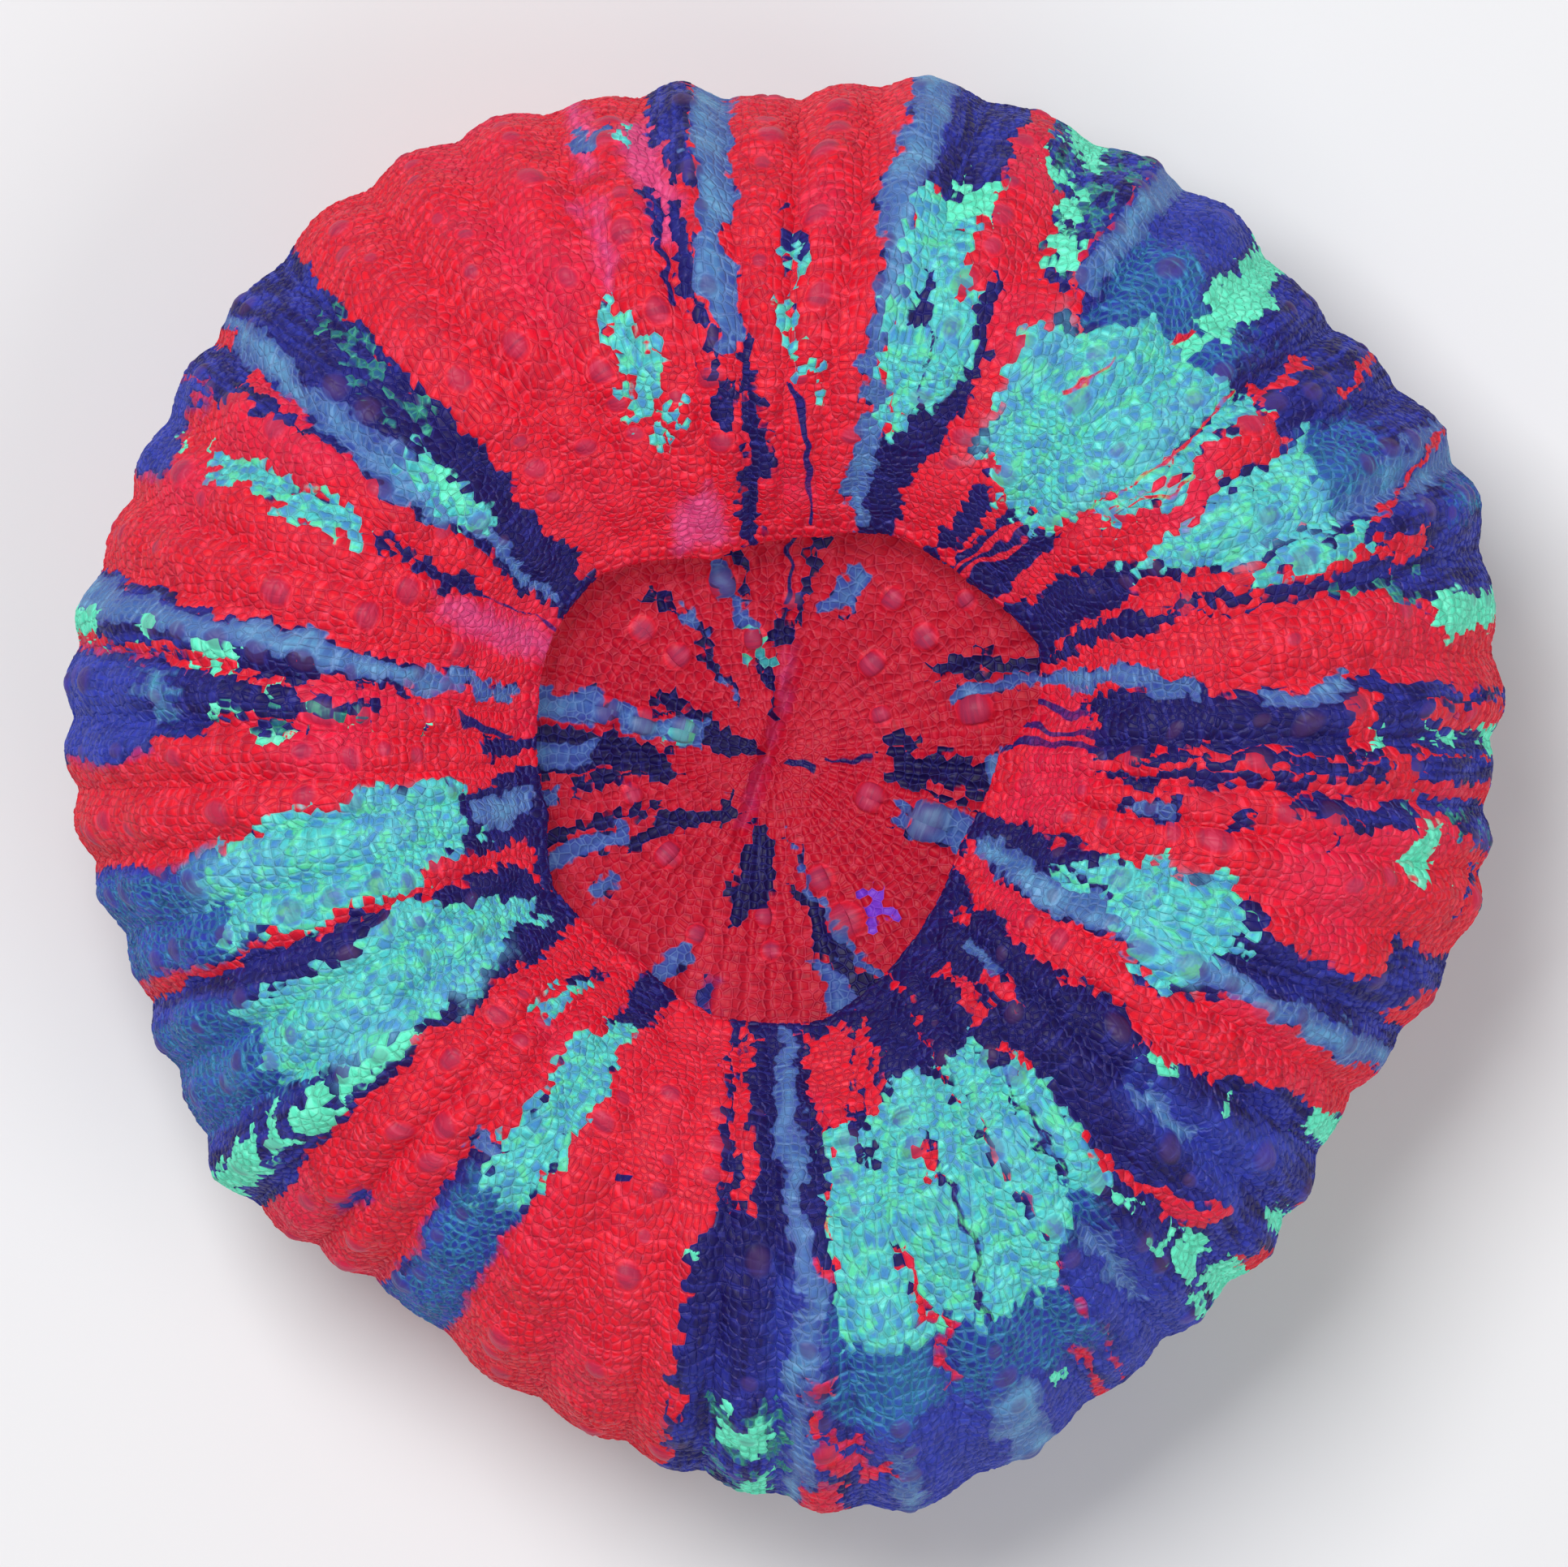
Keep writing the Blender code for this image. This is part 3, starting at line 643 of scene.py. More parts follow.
# %% Strokes on the oral disc
DISC_STROKES = (
    ("lilac", (0.6, 64, 86), (3, 70, 82), (6.5, 73, 79)),
    ("lilac", (0.6, 236, 266), (2.5, 244, 258), (4.2, 248, 254)),
    ("navy", (7.2, 348, 360), (10, 345, 360), (13.1, 345, 358)),
    ("red", (9.6, 344.5, 350.5), (12, 345.5, 349)),
    ("steel", (11.7, 356, 362), (13, 356, 362)),
    ("steel", (8.2, 331, 341), (10, 331.5, 343), (12.4, 333, 341)),
    ("violet", (9.7, 303.4, 309), (11.3, 303.4, 309.4)),
    ("navy", (7.4, 277, 288), (9, 281, 289.5), (11, 284, 293), (14.4, 286, 298), (17, 286, 300)),
    ("steel", (4.3, 285.4, 288.6), (8.5, 287.8, 290.4), (10.5, 290.8, 293.2), (13.5, 296, 298.8),
     (16, 299, 302)),
    ("steel", (12, 282, 287), (17, 283.5, 290)),
    ("blue", (12.6, 254.5, 258.5), (17, 255.5, 261)),
    ("steel", (11.6, 245, 249), (13.6, 242, 247.5), (17, 240, 246)),
    ("navy", (4.2, 262, 276), (6.4, 256, 273), (9.2, 257, 266)),
    ("navy", (3, 222, 246), (6, 212, 222), (9.6, 207.5, 214.5)),
    ("steel", (8.8, 204.5, 210.5), (17, 200.5, 206)),
    ("navy", (6.8, 202.6, 206.4), (17, 194.5, 198.5)),
    ("steel", (11.2, 218.6, 222), (12.4, 218.6, 222)),
    ("navy", (5.4, 185.5, 190.5), (10.6, 189.5, 193)),
    ("steel", (12, 190, 194), (17, 190, 194)),
    ("navy", (0.5, 150, 196), (3, 152, 178), (6.3, 148, 155)),
    ("navy", (5.4, 176, 191), (9, 172, 186), (17, 171.5, 187)),
    ("steel", (8.8, 178, 183.5), (17, 177, 183)),
    ("steel", (3.7, 154, 174), (4.9, 155, 173), (7.1, 160, 170.5), (9.4, 159, 169.5),
     (12.4, 164.5, 171), (17, 165, 171)),
    ("cyan", (4.1, 160, 170), (5.9, 161, 170)),
    ("navy", (3.6, 118.5, 122.5), (6, 117.5, 122.5), (8, 119.5, 125), (11.3, 126, 129.5)),
    ("steel", (8.0, 119.5, 124), (9.5, 119.5, 125)),
    ("steel", (3.9, 119.5, 125), (5, 119.5, 125)),
    ("navy", (9.2, 96, 99.5), (13, 97.5, 101.5)),
    ("steel", (8.9, 103, 108), (10.8, 103.5, 107)),
    ("steel", (6.7, 95.5, 102), (8.6, 96.5, 102)),
    ("cyan", (5.4, 88, 97), (6.4, 87, 96)),
    ("navy", (6.1, 77.5, 90), (7.4, 78, 89), (8.6, 80, 86)),
    ("navy", (2.6, 82, 97), (5.3, 86, 92.5)),
    ("dark_vein", (9, 82.4, 83.8), (13, 83.4, 84.8)),
    ("navy", (8, 73.2, 75.8), (13, 77.4, 79.4)),
    ("steel", (8.4, 60, 67), (11.2, 63.5, 68.5)),
    ("navy", (10.6, 25.5, 31.5), (12.5, 18.5, 25), (17, 13.5, 17.5)),
    ("steel", (10.8, 15.2, 18.8), (13, 14, 17), (17, 13.8, 16.2)),
    ("navy", (6.7, 0, 5), (8.9, 2, 7.2)),
    ("dark_vein", (1.2, 332, 350), (2.6, 336, 346)),
    ("dark_vein", (3.2, 351, 354), (5.6, 354, 356.5)),
)
print(len(DISC_STROKES), "strokes on the oral disc")

# %% [markdown]
# ## From strokes to paint
# For each colour, every point of the sheet gets one number: how deep in millimetres it lies inside
# that colour, less than nought outside. Its slope goes with it, so that the finish can ask for the
# depth at the middle of a vesicle, and a border runs round whole vesicles as on the real skin.

# %% Work out the depths
COLOURS = ("lilac", "violet", "navy", "blue", "steel", "speck", "cyan", "aqua", "fleck", "mint", "dark_vein",
           "red_vein")
OVER_NAVY = ("blue", "steel", "speck", "cyan", "aqua", "mint")
NAVY_EDGE = 0.15
OUTSIDE = -3.0
MARGIN = 2.0
PAST_THE_RIM = 70.0
NEAR_THE_RIM = 1.0
SHEET_SPREAD = 0.9
LIP_CROWDING = 0.6
LIP_CROWDED = 4.0
WANDER = 0.05
WAVE_LENGTHS = (9.0, 7.0, 5.5, 4.2, 3.4, 2.7, 2.2, 1.8, 1.5, 1.3, 1.1)
RIPPLE_WIDE = 2.2
RIPPLE_LONG = 0.34
RIPPLE_APART = 17.3


def stroke_depth(rows, angle, reach):
    """The points near a stroke, and how deep in millimetres each lies inside it."""
    reaches, low, high = np.array(rows, dtype=float).T
    end = reaches[-1]
    if end > rim_reach(0.5 * (low[-1] + high[-1]) % 360.0) - NEAR_THE_RIM:
        end = PAST_THE_RIM
    middle = 0.5 * (low.min() + high.max())
    turned = (angle - middle + 180.0) % 360.0 - 180.0 + middle
    margin = math.degrees(MARGIN / reaches[0])
    near = (turned > low.min() - margin) & (turned < high.max() + margin)
    near &= (reach > reaches[0] - MARGIN) & (reach < end + MARGIN)
    near = np.flatnonzero(near)
    turned = turned[near]
    out = reach[near]
    from_low = turned - np.interp(out, reaches, low)
    to_high = np.interp(out, reaches, high) - turned
    side = np.radians(np.minimum(from_low, to_high)) * out
    return near, np.minimum(side, np.minimum(out - reaches[0], end - out))


def paint(strokes, angle, reach):
    """The depth in every colour, when the strokes are painted in turn."""
    depths = {colour: np.full(len(angle), OUTSIDE) for colour in COLOURS}
    for colour, *rows in strokes:
        near, depth = stroke_depth(rows, angle, reach)
        if colour in COLOURS:
            depths[colour][near] = np.maximum(depths[colour][near], depth)
        if colour in OVER_NAVY:
            depths["navy"][near] = np.maximum(depths["navy"][near], depth - NAVY_EDGE)
        above = COLOURS[COLOURS.index(colour) + 1:] if colour in COLOURS else COLOURS
        for covered in above:
            depths[covered][near] = np.minimum(depths[covered][near], -depth)
    return depths


def pattern_reach(angle, ring):
    """The reach at which a point takes its colour: under the rim it goes on growing."""
    beyond = np.maximum(0.0, ring - RIM_RING) * RING_WIDTH / MM
    return base_reach(angle, np.minimum(ring, RIM_RING)) + beyond


def sheet_reach(angle, ring):
    """The reach of a point on the sheet of vesicles, which is spread out flat."""
    arc = (ring - MANTLE_RING) * MANTLE_ARC / MANTLE_RINGS
    crowded = LIP_CROWDING * np.clip(arc, 0.0, LIP_CROWDED)
    on_mantle = lip_reach(angle) + LIP_ROUND + SHEET_SPREAD * arc + crowded
    on_disc = base_reach(angle, np.minimum(ring, GROOVE_RING))
    return np.where(ring > GROOVE_RING, on_mantle, on_disc)


def wander(across, out, seed):
    """A slow meander in millimetres: a sum of plane waves of many lengths."""
    chance = np.random.default_rng(seed)
    total = np.zeros_like(across)
    for length in WAVE_LENGTHS:
        turn = chance.uniform(0.0, 2.0 * math.pi)
        shift = chance.uniform(0.0, 2.0 * math.pi)
        along = across * math.cos(turn) + out * math.sin(turn)
        total += WANDER * length ** 0.6 * np.sin(2.0 * math.pi * along / length + shift)
    return total


def all_depths(angle, ring):
    """The depths on the oral disc and on the mantle together."""
    reach = pattern_reach(angle, ring)
    x = reach * np.cos(np.radians(angle))
    y = reach * np.sin(np.radians(angle))
    angle = angle + np.degrees(wander(x, y, 3) / np.maximum(reach, 4.0))
    reach = reach + 1.5 * wander(x, y, 4)
    disc = paint(DISC_STROKES, angle, reach)
    mantle = paint(MANTLE_STROKES, angle, reach)
    on_disc = ring < GROOVE_RING
    return {colour: np.where(on_disc, disc[colour], mantle[colour]) for colour in COLOURS}


def store(piece, name, values):
    """Keeps one number or one vector for every point of a piece."""
    kind = "FLOAT" if values.ndim == 1 else "FLOAT_VECTOR"
    field = "value" if values.ndim == 1 else "vector"
    attribute = piece.data.attributes.new(name, kind, "POINT")
    attribute.data.foreach_set(field, values.astype(np.float32).ravel())


SMALL_RING = 0.05
SMALL_TURN = 0.1
here = all_depths(sheet_angle, sheet_ring)
outer = all_depths(sheet_angle, sheet_ring + SMALL_RING)
turned_on = all_depths(sheet_angle + SMALL_TURN, sheet_ring)
spread = sheet_reach(sheet_angle, sheet_ring)
ring_gap = np.maximum(0.02, sheet_reach(sheet_angle, sheet_ring + SMALL_RING) - spread)
turn_gap = np.maximum(0.002, np.radians(SMALL_TURN) * spread)
cosine = np.cos(np.radians(sheet_angle))
sine = np.sin(np.radians(sheet_angle))
for colour in COLOURS:
    outwards = np.clip((outer[colour] - here[colour]) / ring_gap, -1.5, 1.5)
    round_about = np.clip((turned_on[colour] - here[colour]) / turn_gap, -1.5, 1.5)
    slope_x = outwards * cosine - round_about * sine
    slope_y = outwards * sine + round_about * cosine
    store(flesh, colour, np.stack((slope_x, slope_y, here[colour]), axis=1))
    print(colour, "covers", round(100.0 * float((here[colour] > 0).mean()), 1), "% of the points")
store(flesh, "sheet", np.stack((spread * cosine, spread * sine, np.zeros_like(spread)), axis=1))
ridge = np.round(ridge_count(sheet_angle)).astype(int) % len(RIDGES)
from_crest = (sheet_angle - RIDGE_ANGLES[ridge] + 180.0) % 360.0 - 180.0
across = np.radians(from_crest) * spread
ripple = (across / RIPPLE_WIDE + RIPPLE_APART * ridge, spread / RIPPLE_LONG, np.zeros_like(spread))
store(flesh, "ripple", np.stack(ripple, axis=1))

# %% [markdown]
# ## Large bubbles
# Rows of see-through bubbles, two to four times as wide as a vesicle, stand on every ridge of the
# mantle, and a few more lie about the oral disc. Each is a low dome pushed out of the skin, and how
# near a point is to its middle is kept, because the finish makes the middle dusky.

# %% Push out the bubbles
BUBBLE_GAP = 2.1
BUBBLE_SMALLEST = 0.45
BUBBLE_LARGEST = 0.95
BUBBLE_RISE = 0.35
BUBBLE_GAPS = 0.5
VESICLES = (
    (6.9, 8.6, 0.8), (5.8, 5.0, 0.9), (8.7, 6.5, 0.9), (11.0, 8.5, 0.7),
    (11.5, 2.4, 1.2), (6.3, 2.1, 0.7), (5.7, -2.4, 1.0), (8.9, -3.7, 1.4),
    (3.0, -6.9, 0.9), (4.3, -9.3, 1.3), (-0.1, -9.0, 0.7), (0.2, -10.9, 0.7),
    (-5.5, -5.6, 0.9), (-7.5, -2.2, 0.7), (-3.9, -10.0, 0.7), (-5.0, 5.4, 0.9),
    (-6.9, 6.9, 0.9), (-2.5, 9.5, 1.0), (-0.7, 6.4, 0.8), (1.4, 8.5, 0.7),
    (-8.9, 2.4, 0.9), (-6.9, 1.8, 0.9), (-4.7, 1.3, 0.9),
)
VESICLE_RISE = 0.55


def cone(distance, radius):
    """One in the middle of a bubble, falling evenly to nought at its edge."""
    return np.maximum(0.0, 1.0 - distance / radius)


def dome(share):
    """The low round dome that goes with a cone."""
    return 1.0 - (1.0 - share) ** 2


def ridge_bubbles(angle, ring):
    """The bubbles in rows on the ridges: how near a bubble's middle a point is, and its rise."""
    chance = np.random.default_rng(7)
    per_ridge = int(MANTLE_ARC / BUBBLE_GAP) + 2
    sizes = chance.uniform(BUBBLE_SMALLEST, BUBBLE_LARGEST, (len(RIDGES), per_ridge))
    sizes *= chance.random((len(RIDGES), per_ridge)) > BUBBLE_GAPS
    starts = chance.uniform(0.0, BUBBLE_GAP, len(RIDGES))
    sideways = chance.uniform(-0.5, 0.5, (len(RIDGES), per_ridge))
    ridge = np.round(ridge_count(angle)).astype(int) % len(RIDGES)
    arc = (ring - MANTLE_RING) * MANTLE_ARC / MANTLE_RINGS - starts[ridge]
    place_on = np.clip(np.round(arc / BUBBLE_GAP).astype(int), 0, per_ridge - 1)
    away = (angle - RIDGE_ANGLES[ridge] + 180.0) % 360.0 - 180.0
    across = np.radians(away) * base_reach(angle, ring) - sideways[ridge, place_on]
    radius = sizes[ridge, place_on] * step_up(ring, MANTLE_RING + 1, MANTLE_RING + 6)
    radius = np.where(ring < RIM_RING + 2, radius, 0.0)
    along = arc - place_on * BUBBLE_GAP
    share = cone(np.hypot(across, along), np.maximum(radius, 1e-3))
    return share, dome(share) * radius * BUBBLE_RISE


def disc_bubbles(angle, ring):
    """The large vesicles of the oral disc, in the same two measures."""
    reach = base_reach(angle, ring)
    x = reach * np.cos(np.radians(angle))
    y = reach * np.sin(np.radians(angle))
    share = np.zeros_like(angle)
    rise = np.zeros_like(angle)
    for vesicle_x, vesicle_y, radius in VESICLES:
        part = cone(np.hypot(x - vesicle_x, y - vesicle_y), radius)
        share = np.maximum(share, part)
        rise = np.maximum(rise, dome(part) * radius * VESICLE_RISE)
    on_disc = ring < GROOVE_RING
    return share * on_disc, rise * on_disc


ridge_share, ridge_rise = ridge_bubbles(sheet_angle, sheet_ring)
disc_share, disc_rise = disc_bubbles(sheet_angle, sheet_ring)
bubble = np.maximum(ridge_share, disc_share)
places += read_normals(flesh) * np.maximum(ridge_rise, disc_rise)[:, None]
write_places(flesh, places)
store(flesh, "bubble", bubble)
store(flesh, "ring", sheet_ring)
store(flesh, "disc", (sheet_ring < GROOVE_RING).astype(float))
print("Bubbles cover", round(100.0 * float((bubble > 0.0).mean()), 1), "% of the skin")

# %% [markdown]
# ## Shader maths written as sums
# A node tree is easier to read as a sum. A Value wraps one output socket, and adding, taking away
# or multiplying it puts a Math node in the tree. A Bench is the tree itself: node adds any other
# node, and rise, noise, cells and mix are short ways to the ones that come often. The same two
# classes serve geometry nodes, where vesicles are given height.

# %% A bench for node trees
class Value:
    """One number, colour or vector that comes out of a node."""

    def __init__(self, bench, socket):
        self.bench = bench
        self.socket = socket

    def other(self, name):
        """Another output of the same node."""
        return Value(self.bench, self.socket.node.outputs[name])

    def maths(self, operation, *numbers):
        return self.bench.node("ShaderNodeMath", {"operation": operation}, dict(enumerate(numbers)))

    def __add__(self, number):
        return self.maths("ADD", self, number)

    __radd__ = __add__

    def __sub__(self, number):
        return self.maths("SUBTRACT", self, number)

    def __rsub__(self, number):
        return self.maths("SUBTRACT", number, self)

    def __mul__(self, number):
        return self.maths("MULTIPLY", self, number)

    __rmul__ = __mul__

    def vector(self, operation, *vectors):
        """Vector maths with this value first."""
        return self.bench.node("ShaderNodeVectorMath", {"operation": operation},
                               dict(enumerate((self,) + vectors)))

    def dot(self, vector):
        return self.vector("DOT_PRODUCT", vector).other("Value")

    def scaled(self, number):
        """This vector made longer by a number."""
        sockets = {"Vector": self, "Scale": number}
        return self.bench.node("ShaderNodeVectorMath", {"operation": "SCALE"}, sockets)


class Bench:
    """A node tree under construction."""

    def __init__(self, tree):
        self.tree = tree

    def node(self, kind, settings, sockets):
        """Adds a node with its settings, then fills its sockets with numbers or links."""
        made = self.tree.nodes.new(kind)
        for name, value in settings.items():
            setattr(made, name, value)
        for name, value in sockets.items():
            if isinstance(value, Value):
                self.tree.links.new(value.socket, made.inputs[name])
            else:
                made.inputs[name].default_value = value
        live = [socket for socket in made.outputs if socket.enabled]
        return Value(self, live[0]) if live else None

    def rise(self, value, low, high):
        """Nought below low, one above high, with a smooth rise between."""
        return self.node("ShaderNodeMapRange", {"interpolation_type": "SMOOTHSTEP"},
                         {"Value": value, "From Min": low, "From Max": high})

    def noise(self, vector, scale, detail=2.0):
        return self.node("ShaderNodeTexNoise", {"noise_dimensions": "3D"},
                         {"Vector": vector, "Scale": scale, "Detail": detail})

    def cells(self, vector, scale, feature="F1", randomness=0.8):
        return self.node("ShaderNodeTexVoronoi", {"voronoi_dimensions": "2D", "feature": feature},
                         {"Vector": vector, "Scale": scale, "Randomness": randomness})

    def mix(self, below, above, share):
        """One colour laid over another by a share."""
        made = self.tree.nodes.new("ShaderNodeMix")
        made.data_type = "RGBA"
        for index, value in ((0, share), (6, below), (7, above)):
            if isinstance(value, Value):
                self.tree.links.new(value.socket, made.inputs[index])
            else:
                made.inputs[index].default_value = value
        return Value(self, made.outputs[2])


print("A bench adds nodes, and a value adds up")

# %% [markdown]
# ## The skin of vesicles
# Every bit of the real skin is packed with round vesicles about half a millimetre across, with a
# crack between neighbours. A cell pattern on the flat sheet gives each its middle and its edge.
# The sheet is warped a little first, so that the rows aren't straight.

# %% Share the cell pattern between the shape and the finish
CELLS_PER_MM = 2.0
WARP_PER_MM = 0.3
WARP = 0.45
PILLOW = 0.14
PILLOW_EDGE = 0.2
DISC_NET = 1.5


def warped_sheet(bench, sheet):
    """The sheet's own coordinates, warped by slow noise."""
    slow = bench.noise(sheet, WARP_PER_MM, 1.0).other("Color")
    centred = slow.vector("SUBTRACT", (0.5, 0.5, 0.5))
    push = centred.vector("MULTIPLY", (WARP, WARP, 0.0))
    return sheet.vector("ADD", push)


def skin_cells(bench, sheet):
    """The vesicle that holds a point, how far its edge is, and the way to its middle."""
    warped = warped_sheet(bench, sheet)
    cell = bench.cells(warped, CELLS_PER_MM)
    edge = bench.cells(warped, CELLS_PER_MM, "DISTANCE_TO_EDGE")
    flat_middle = cell.other("Position").vector("MULTIPLY", (1.0, 1.0, 0.0))
    flat_here = warped.vector("MULTIPLY", (1.0, 1.0, 0.0))
    return cell, edge, flat_middle.vector("SUBTRACT", flat_here)


print("Vesicles are about", 1.0 / CELLS_PER_MM, "mm apart")

# %% Give the vesicles their height
def shaping_tree(name):
    """An empty tree of geometry nodes, the bench that fills it, and the shape that comes in."""
    tree = bpy.data.node_groups.new(name, "GeometryNodeTree")
    tree.interface.new_socket("Geometry", in_out="INPUT", socket_type="NodeSocketGeometry")
    tree.interface.new_socket("Geometry", in_out="OUTPUT", socket_type="NodeSocketGeometry")
    bench = Bench(tree)
    return tree, bench, bench.node("NodeGroupInput", {}, {})


def push_out(bench, shape, height):
    """Moves every point of the shape along the surface's own normal."""
    facing = bench.node("GeometryNodeInputNormal", {}, {})
    moved = bench.node("GeometryNodeSetPosition", {}, {"Geometry": shape, "Offset": facing.scaled(height)})
    bench.node("NodeGroupOutput", {}, {"Geometry": moved})


def vesicle_tree():
    """Geometry nodes that puff every vesicle up, or on the disc raise the net between vesicles."""
    tree, bench, flesh_in = shaping_tree("vesicles")

    def stored(name, kind):
        return bench.node("GeometryNodeInputNamedAttribute", {"data_type": kind}, {"Name": name})

    cell, edge, _ = skin_cells(bench, stored("sheet", "FLOAT_VECTOR"))
    calm = bench.rise(stored("steel", "FLOAT_VECTOR").dot((0.0, 0.0, 1.0)), -0.3, 0.4)
    size = 0.7 + 0.6 * cell.other("Color").dot((1.0, 0.0, 0.0))
    puff = bench.rise(edge, -PILLOW_EDGE, PILLOW_EDGE) * 2.0 - 1.0
    off_bubbles = 1.0 - 0.85 * bench.rise(stored("bubble", "FLOAT"), 0.0, 0.2)
    height = puff * size * (1.0 - 0.6 * calm) * off_bubbles
    height = height * (1.0 - DISC_NET * stored("disc", "FLOAT"))
    push_out(bench, flesh_in, height * (PILLOW * MM))
    return tree


apply_modifier(flesh, "NODES", "Vesicles", node_group=vesicle_tree())
print("Skin with vesicles:", len(flesh.data.vertices), "points")

# %% [markdown]
# ## Parting the sheet
# Nearly a million triangles in one mesh would be thinned when it is written out, so the finished
# skin is parted into the oral disc and four quarters of the mantle, along valleys between ridges.
# The normals of the whole skin are kept first and given back after, so that no seam shows.

# %% Part the skin into pieces
SEAMS = (8.0, 93.75, 183.0, 271.0)
PIECE_NAMES = ("mantle_top", "mantle_left", "mantle_bottom", "mantle_right")
PIECE_SPAN = (SEAMS[1] - SEAMS[0], SEAMS[2] - SEAMS[1], SEAMS[3] - SEAMS[2], SEAMS[0] + 360.0 - SEAMS[3])


def face_means(piece, values):
    """The mean of a point value over each face's corners."""
    count = len(piece.data.polygons)
    corners = np.empty(len(piece.data.loops), dtype=np.int32)
    piece.data.loops.foreach_get("vertex_index", corners)
    starts = np.empty(count, dtype=np.int32)
    totals = np.empty(count, dtype=np.int32)
    piece.data.polygons.foreach_get("loop_start", starts)
    piece.data.polygons.foreach_get("loop_total", totals)
    return np.add.reduceat(values[corners], starts) / totals


def read_stored(piece, name, width):
    """A stored point attribute as numbers."""
    data = np.empty(width * len(piece.data.vertices), dtype=np.float32)
    field = "value" if width == 1 else "vector"
    piece.data.attributes[name].data.foreach_get(field, data)
    return data if width == 1 else data.reshape(-1, width)


def part_off(piece, chosen, name):
    """Separates the chosen faces of a piece into a new piece."""
    deselect()
    bpy.context.view_layer.objects.active = piece
    piece.select_set(True)
    bpy.ops.object.mode_set(mode="EDIT")
    bpy.ops.mesh.select_mode(type="FACE")
    bpy.ops.mesh.select_all(action="DESELECT")
    bpy.ops.object.mode_set(mode="OBJECT")
    piece.data.polygons.foreach_set("select", chosen)
    bpy.ops.object.mode_set(mode="EDIT")
    bpy.ops.mesh.separate(type="SELECTED")
    bpy.ops.object.mode_set(mode="OBJECT")
    part = [other for other in bpy.context.selected_objects if other is not piece][0]
    part.name = name
    return part


def lay_out(piece):
    """Gives a piece its place on the flat sheet as its UV map, and the whole skin's normals."""
    sheet = read_stored(piece, "sheet", 3)[:, :2]
    low = sheet.min(axis=0)
    size = float((sheet.max(axis=0) - low).max())
    corners = np.empty(len(piece.data.loops), dtype=np.int32)
    piece.data.loops.foreach_get("vertex_index", corners)
    flat_places = 0.01 + 0.98 * (sheet - low) / size
    layer = piece.data.uv_layers.new(name="OFBake")
    layer.uv.foreach_set("vector", flat_places[corners].ravel())
    normals = read_stored(piece, "whole_normal", 3)
    piece.data.shade_smooth()
    piece.data.normals_split_custom_set_from_vertices(normals)
    piece.data.attributes.remove(piece.data.attributes["whole_normal"])


store(flesh, "whole_normal", read_normals(flesh))
flesh_pieces = []
face_ring = face_means(flesh, read_stored(flesh, "ring", 1))
flesh_pieces.append(part_off(flesh, face_ring < GROOVE_RING, "oral_disc"))
for seam, span, name in zip(SEAMS[:3], PIECE_SPAN, PIECE_NAMES):
    sheet_xy = read_stored(flesh, "sheet", 3)
    face_x = face_means(flesh, sheet_xy[:, 0])
    face_y = face_means(flesh, sheet_xy[:, 1])
    turned = (np.degrees(np.arctan2(face_y, face_x)) - seam) % 360.0
    flesh_pieces.append(part_off(flesh, turned < span, name))
flesh.name = PIECE_NAMES[3]
flesh_pieces.append(flesh)
for piece in flesh_pieces:
    lay_out(piece)
    print(piece.name, sum(len(face.vertices) - 2 for face in piece.data.polygons), "triangles")

# %% [markdown]
# ## The stony foot
# Under the flesh the polyp stands on its own skeleton, a short ribbed cone of pale stone with one
# rib under every ridge and finer ones between. It is a disc extruded upwards and scaled, made fine,
# ribbed in code, and given grains by geometry nodes. The cut it rests on stays flat.

# %% Model the foot
FOOT_COLUMNS = 192
FOOT_HEIGHTS = (1.2, 2.4, 3.6, 4.8, 5.9, 7.0, 8.1, HEM_Z + 0.6)
FOOT_KNOTS = ((0.0, 0.0, 0.0), (2.4, 0.1, 0.2), (5.6, 0.3, 0.5), (HEM_Z + 0.6, 0.5, 0.8))
RIB_HEIGHT = 0.5
FINE_RIBS = 4
FINE_RIB_HEIGHT = 0.16
GRAIN = 0.16


def foot_blank():
    """A short drum with rings up its side, made fine."""
    deselect()
    bpy.ops.mesh.primitive_circle_add(vertices=FOOT_COLUMNS, radius=FOOT_RADIUS * MM, fill_type="TRIFAN")
    foot = bpy.context.object
    foot.name = "stony_foot"
    bpy.ops.object.mode_set(mode="EDIT")
    bpy.ops.mesh.select_all(action="SELECT")
    bpy.ops.mesh.flip_normals()
    bpy.ops.mesh.select_mode(type="EDGE")
    bpy.ops.mesh.select_all(action="DESELECT")
    bpy.ops.mesh.select_non_manifold()
    below = 0.0
    for height in FOOT_HEIGHTS:
        bpy.ops.mesh.extrude_edges_move(TRANSFORM_OT_translate={"value": (0.0, 0.0, (height - below) * MM)})
        below = height
    bpy.ops.mesh.edge_face_add()
    bpy.ops.mesh.select_all(action="SELECT")
    bpy.ops.mesh.normals_make_consistent(inside=False)
    bpy.ops.object.mode_set(mode="OBJECT")
    apply_modifier(foot, "SUBSURF", "Fine", subdivision_type="SIMPLE", levels=2, render_levels=2)
    return foot


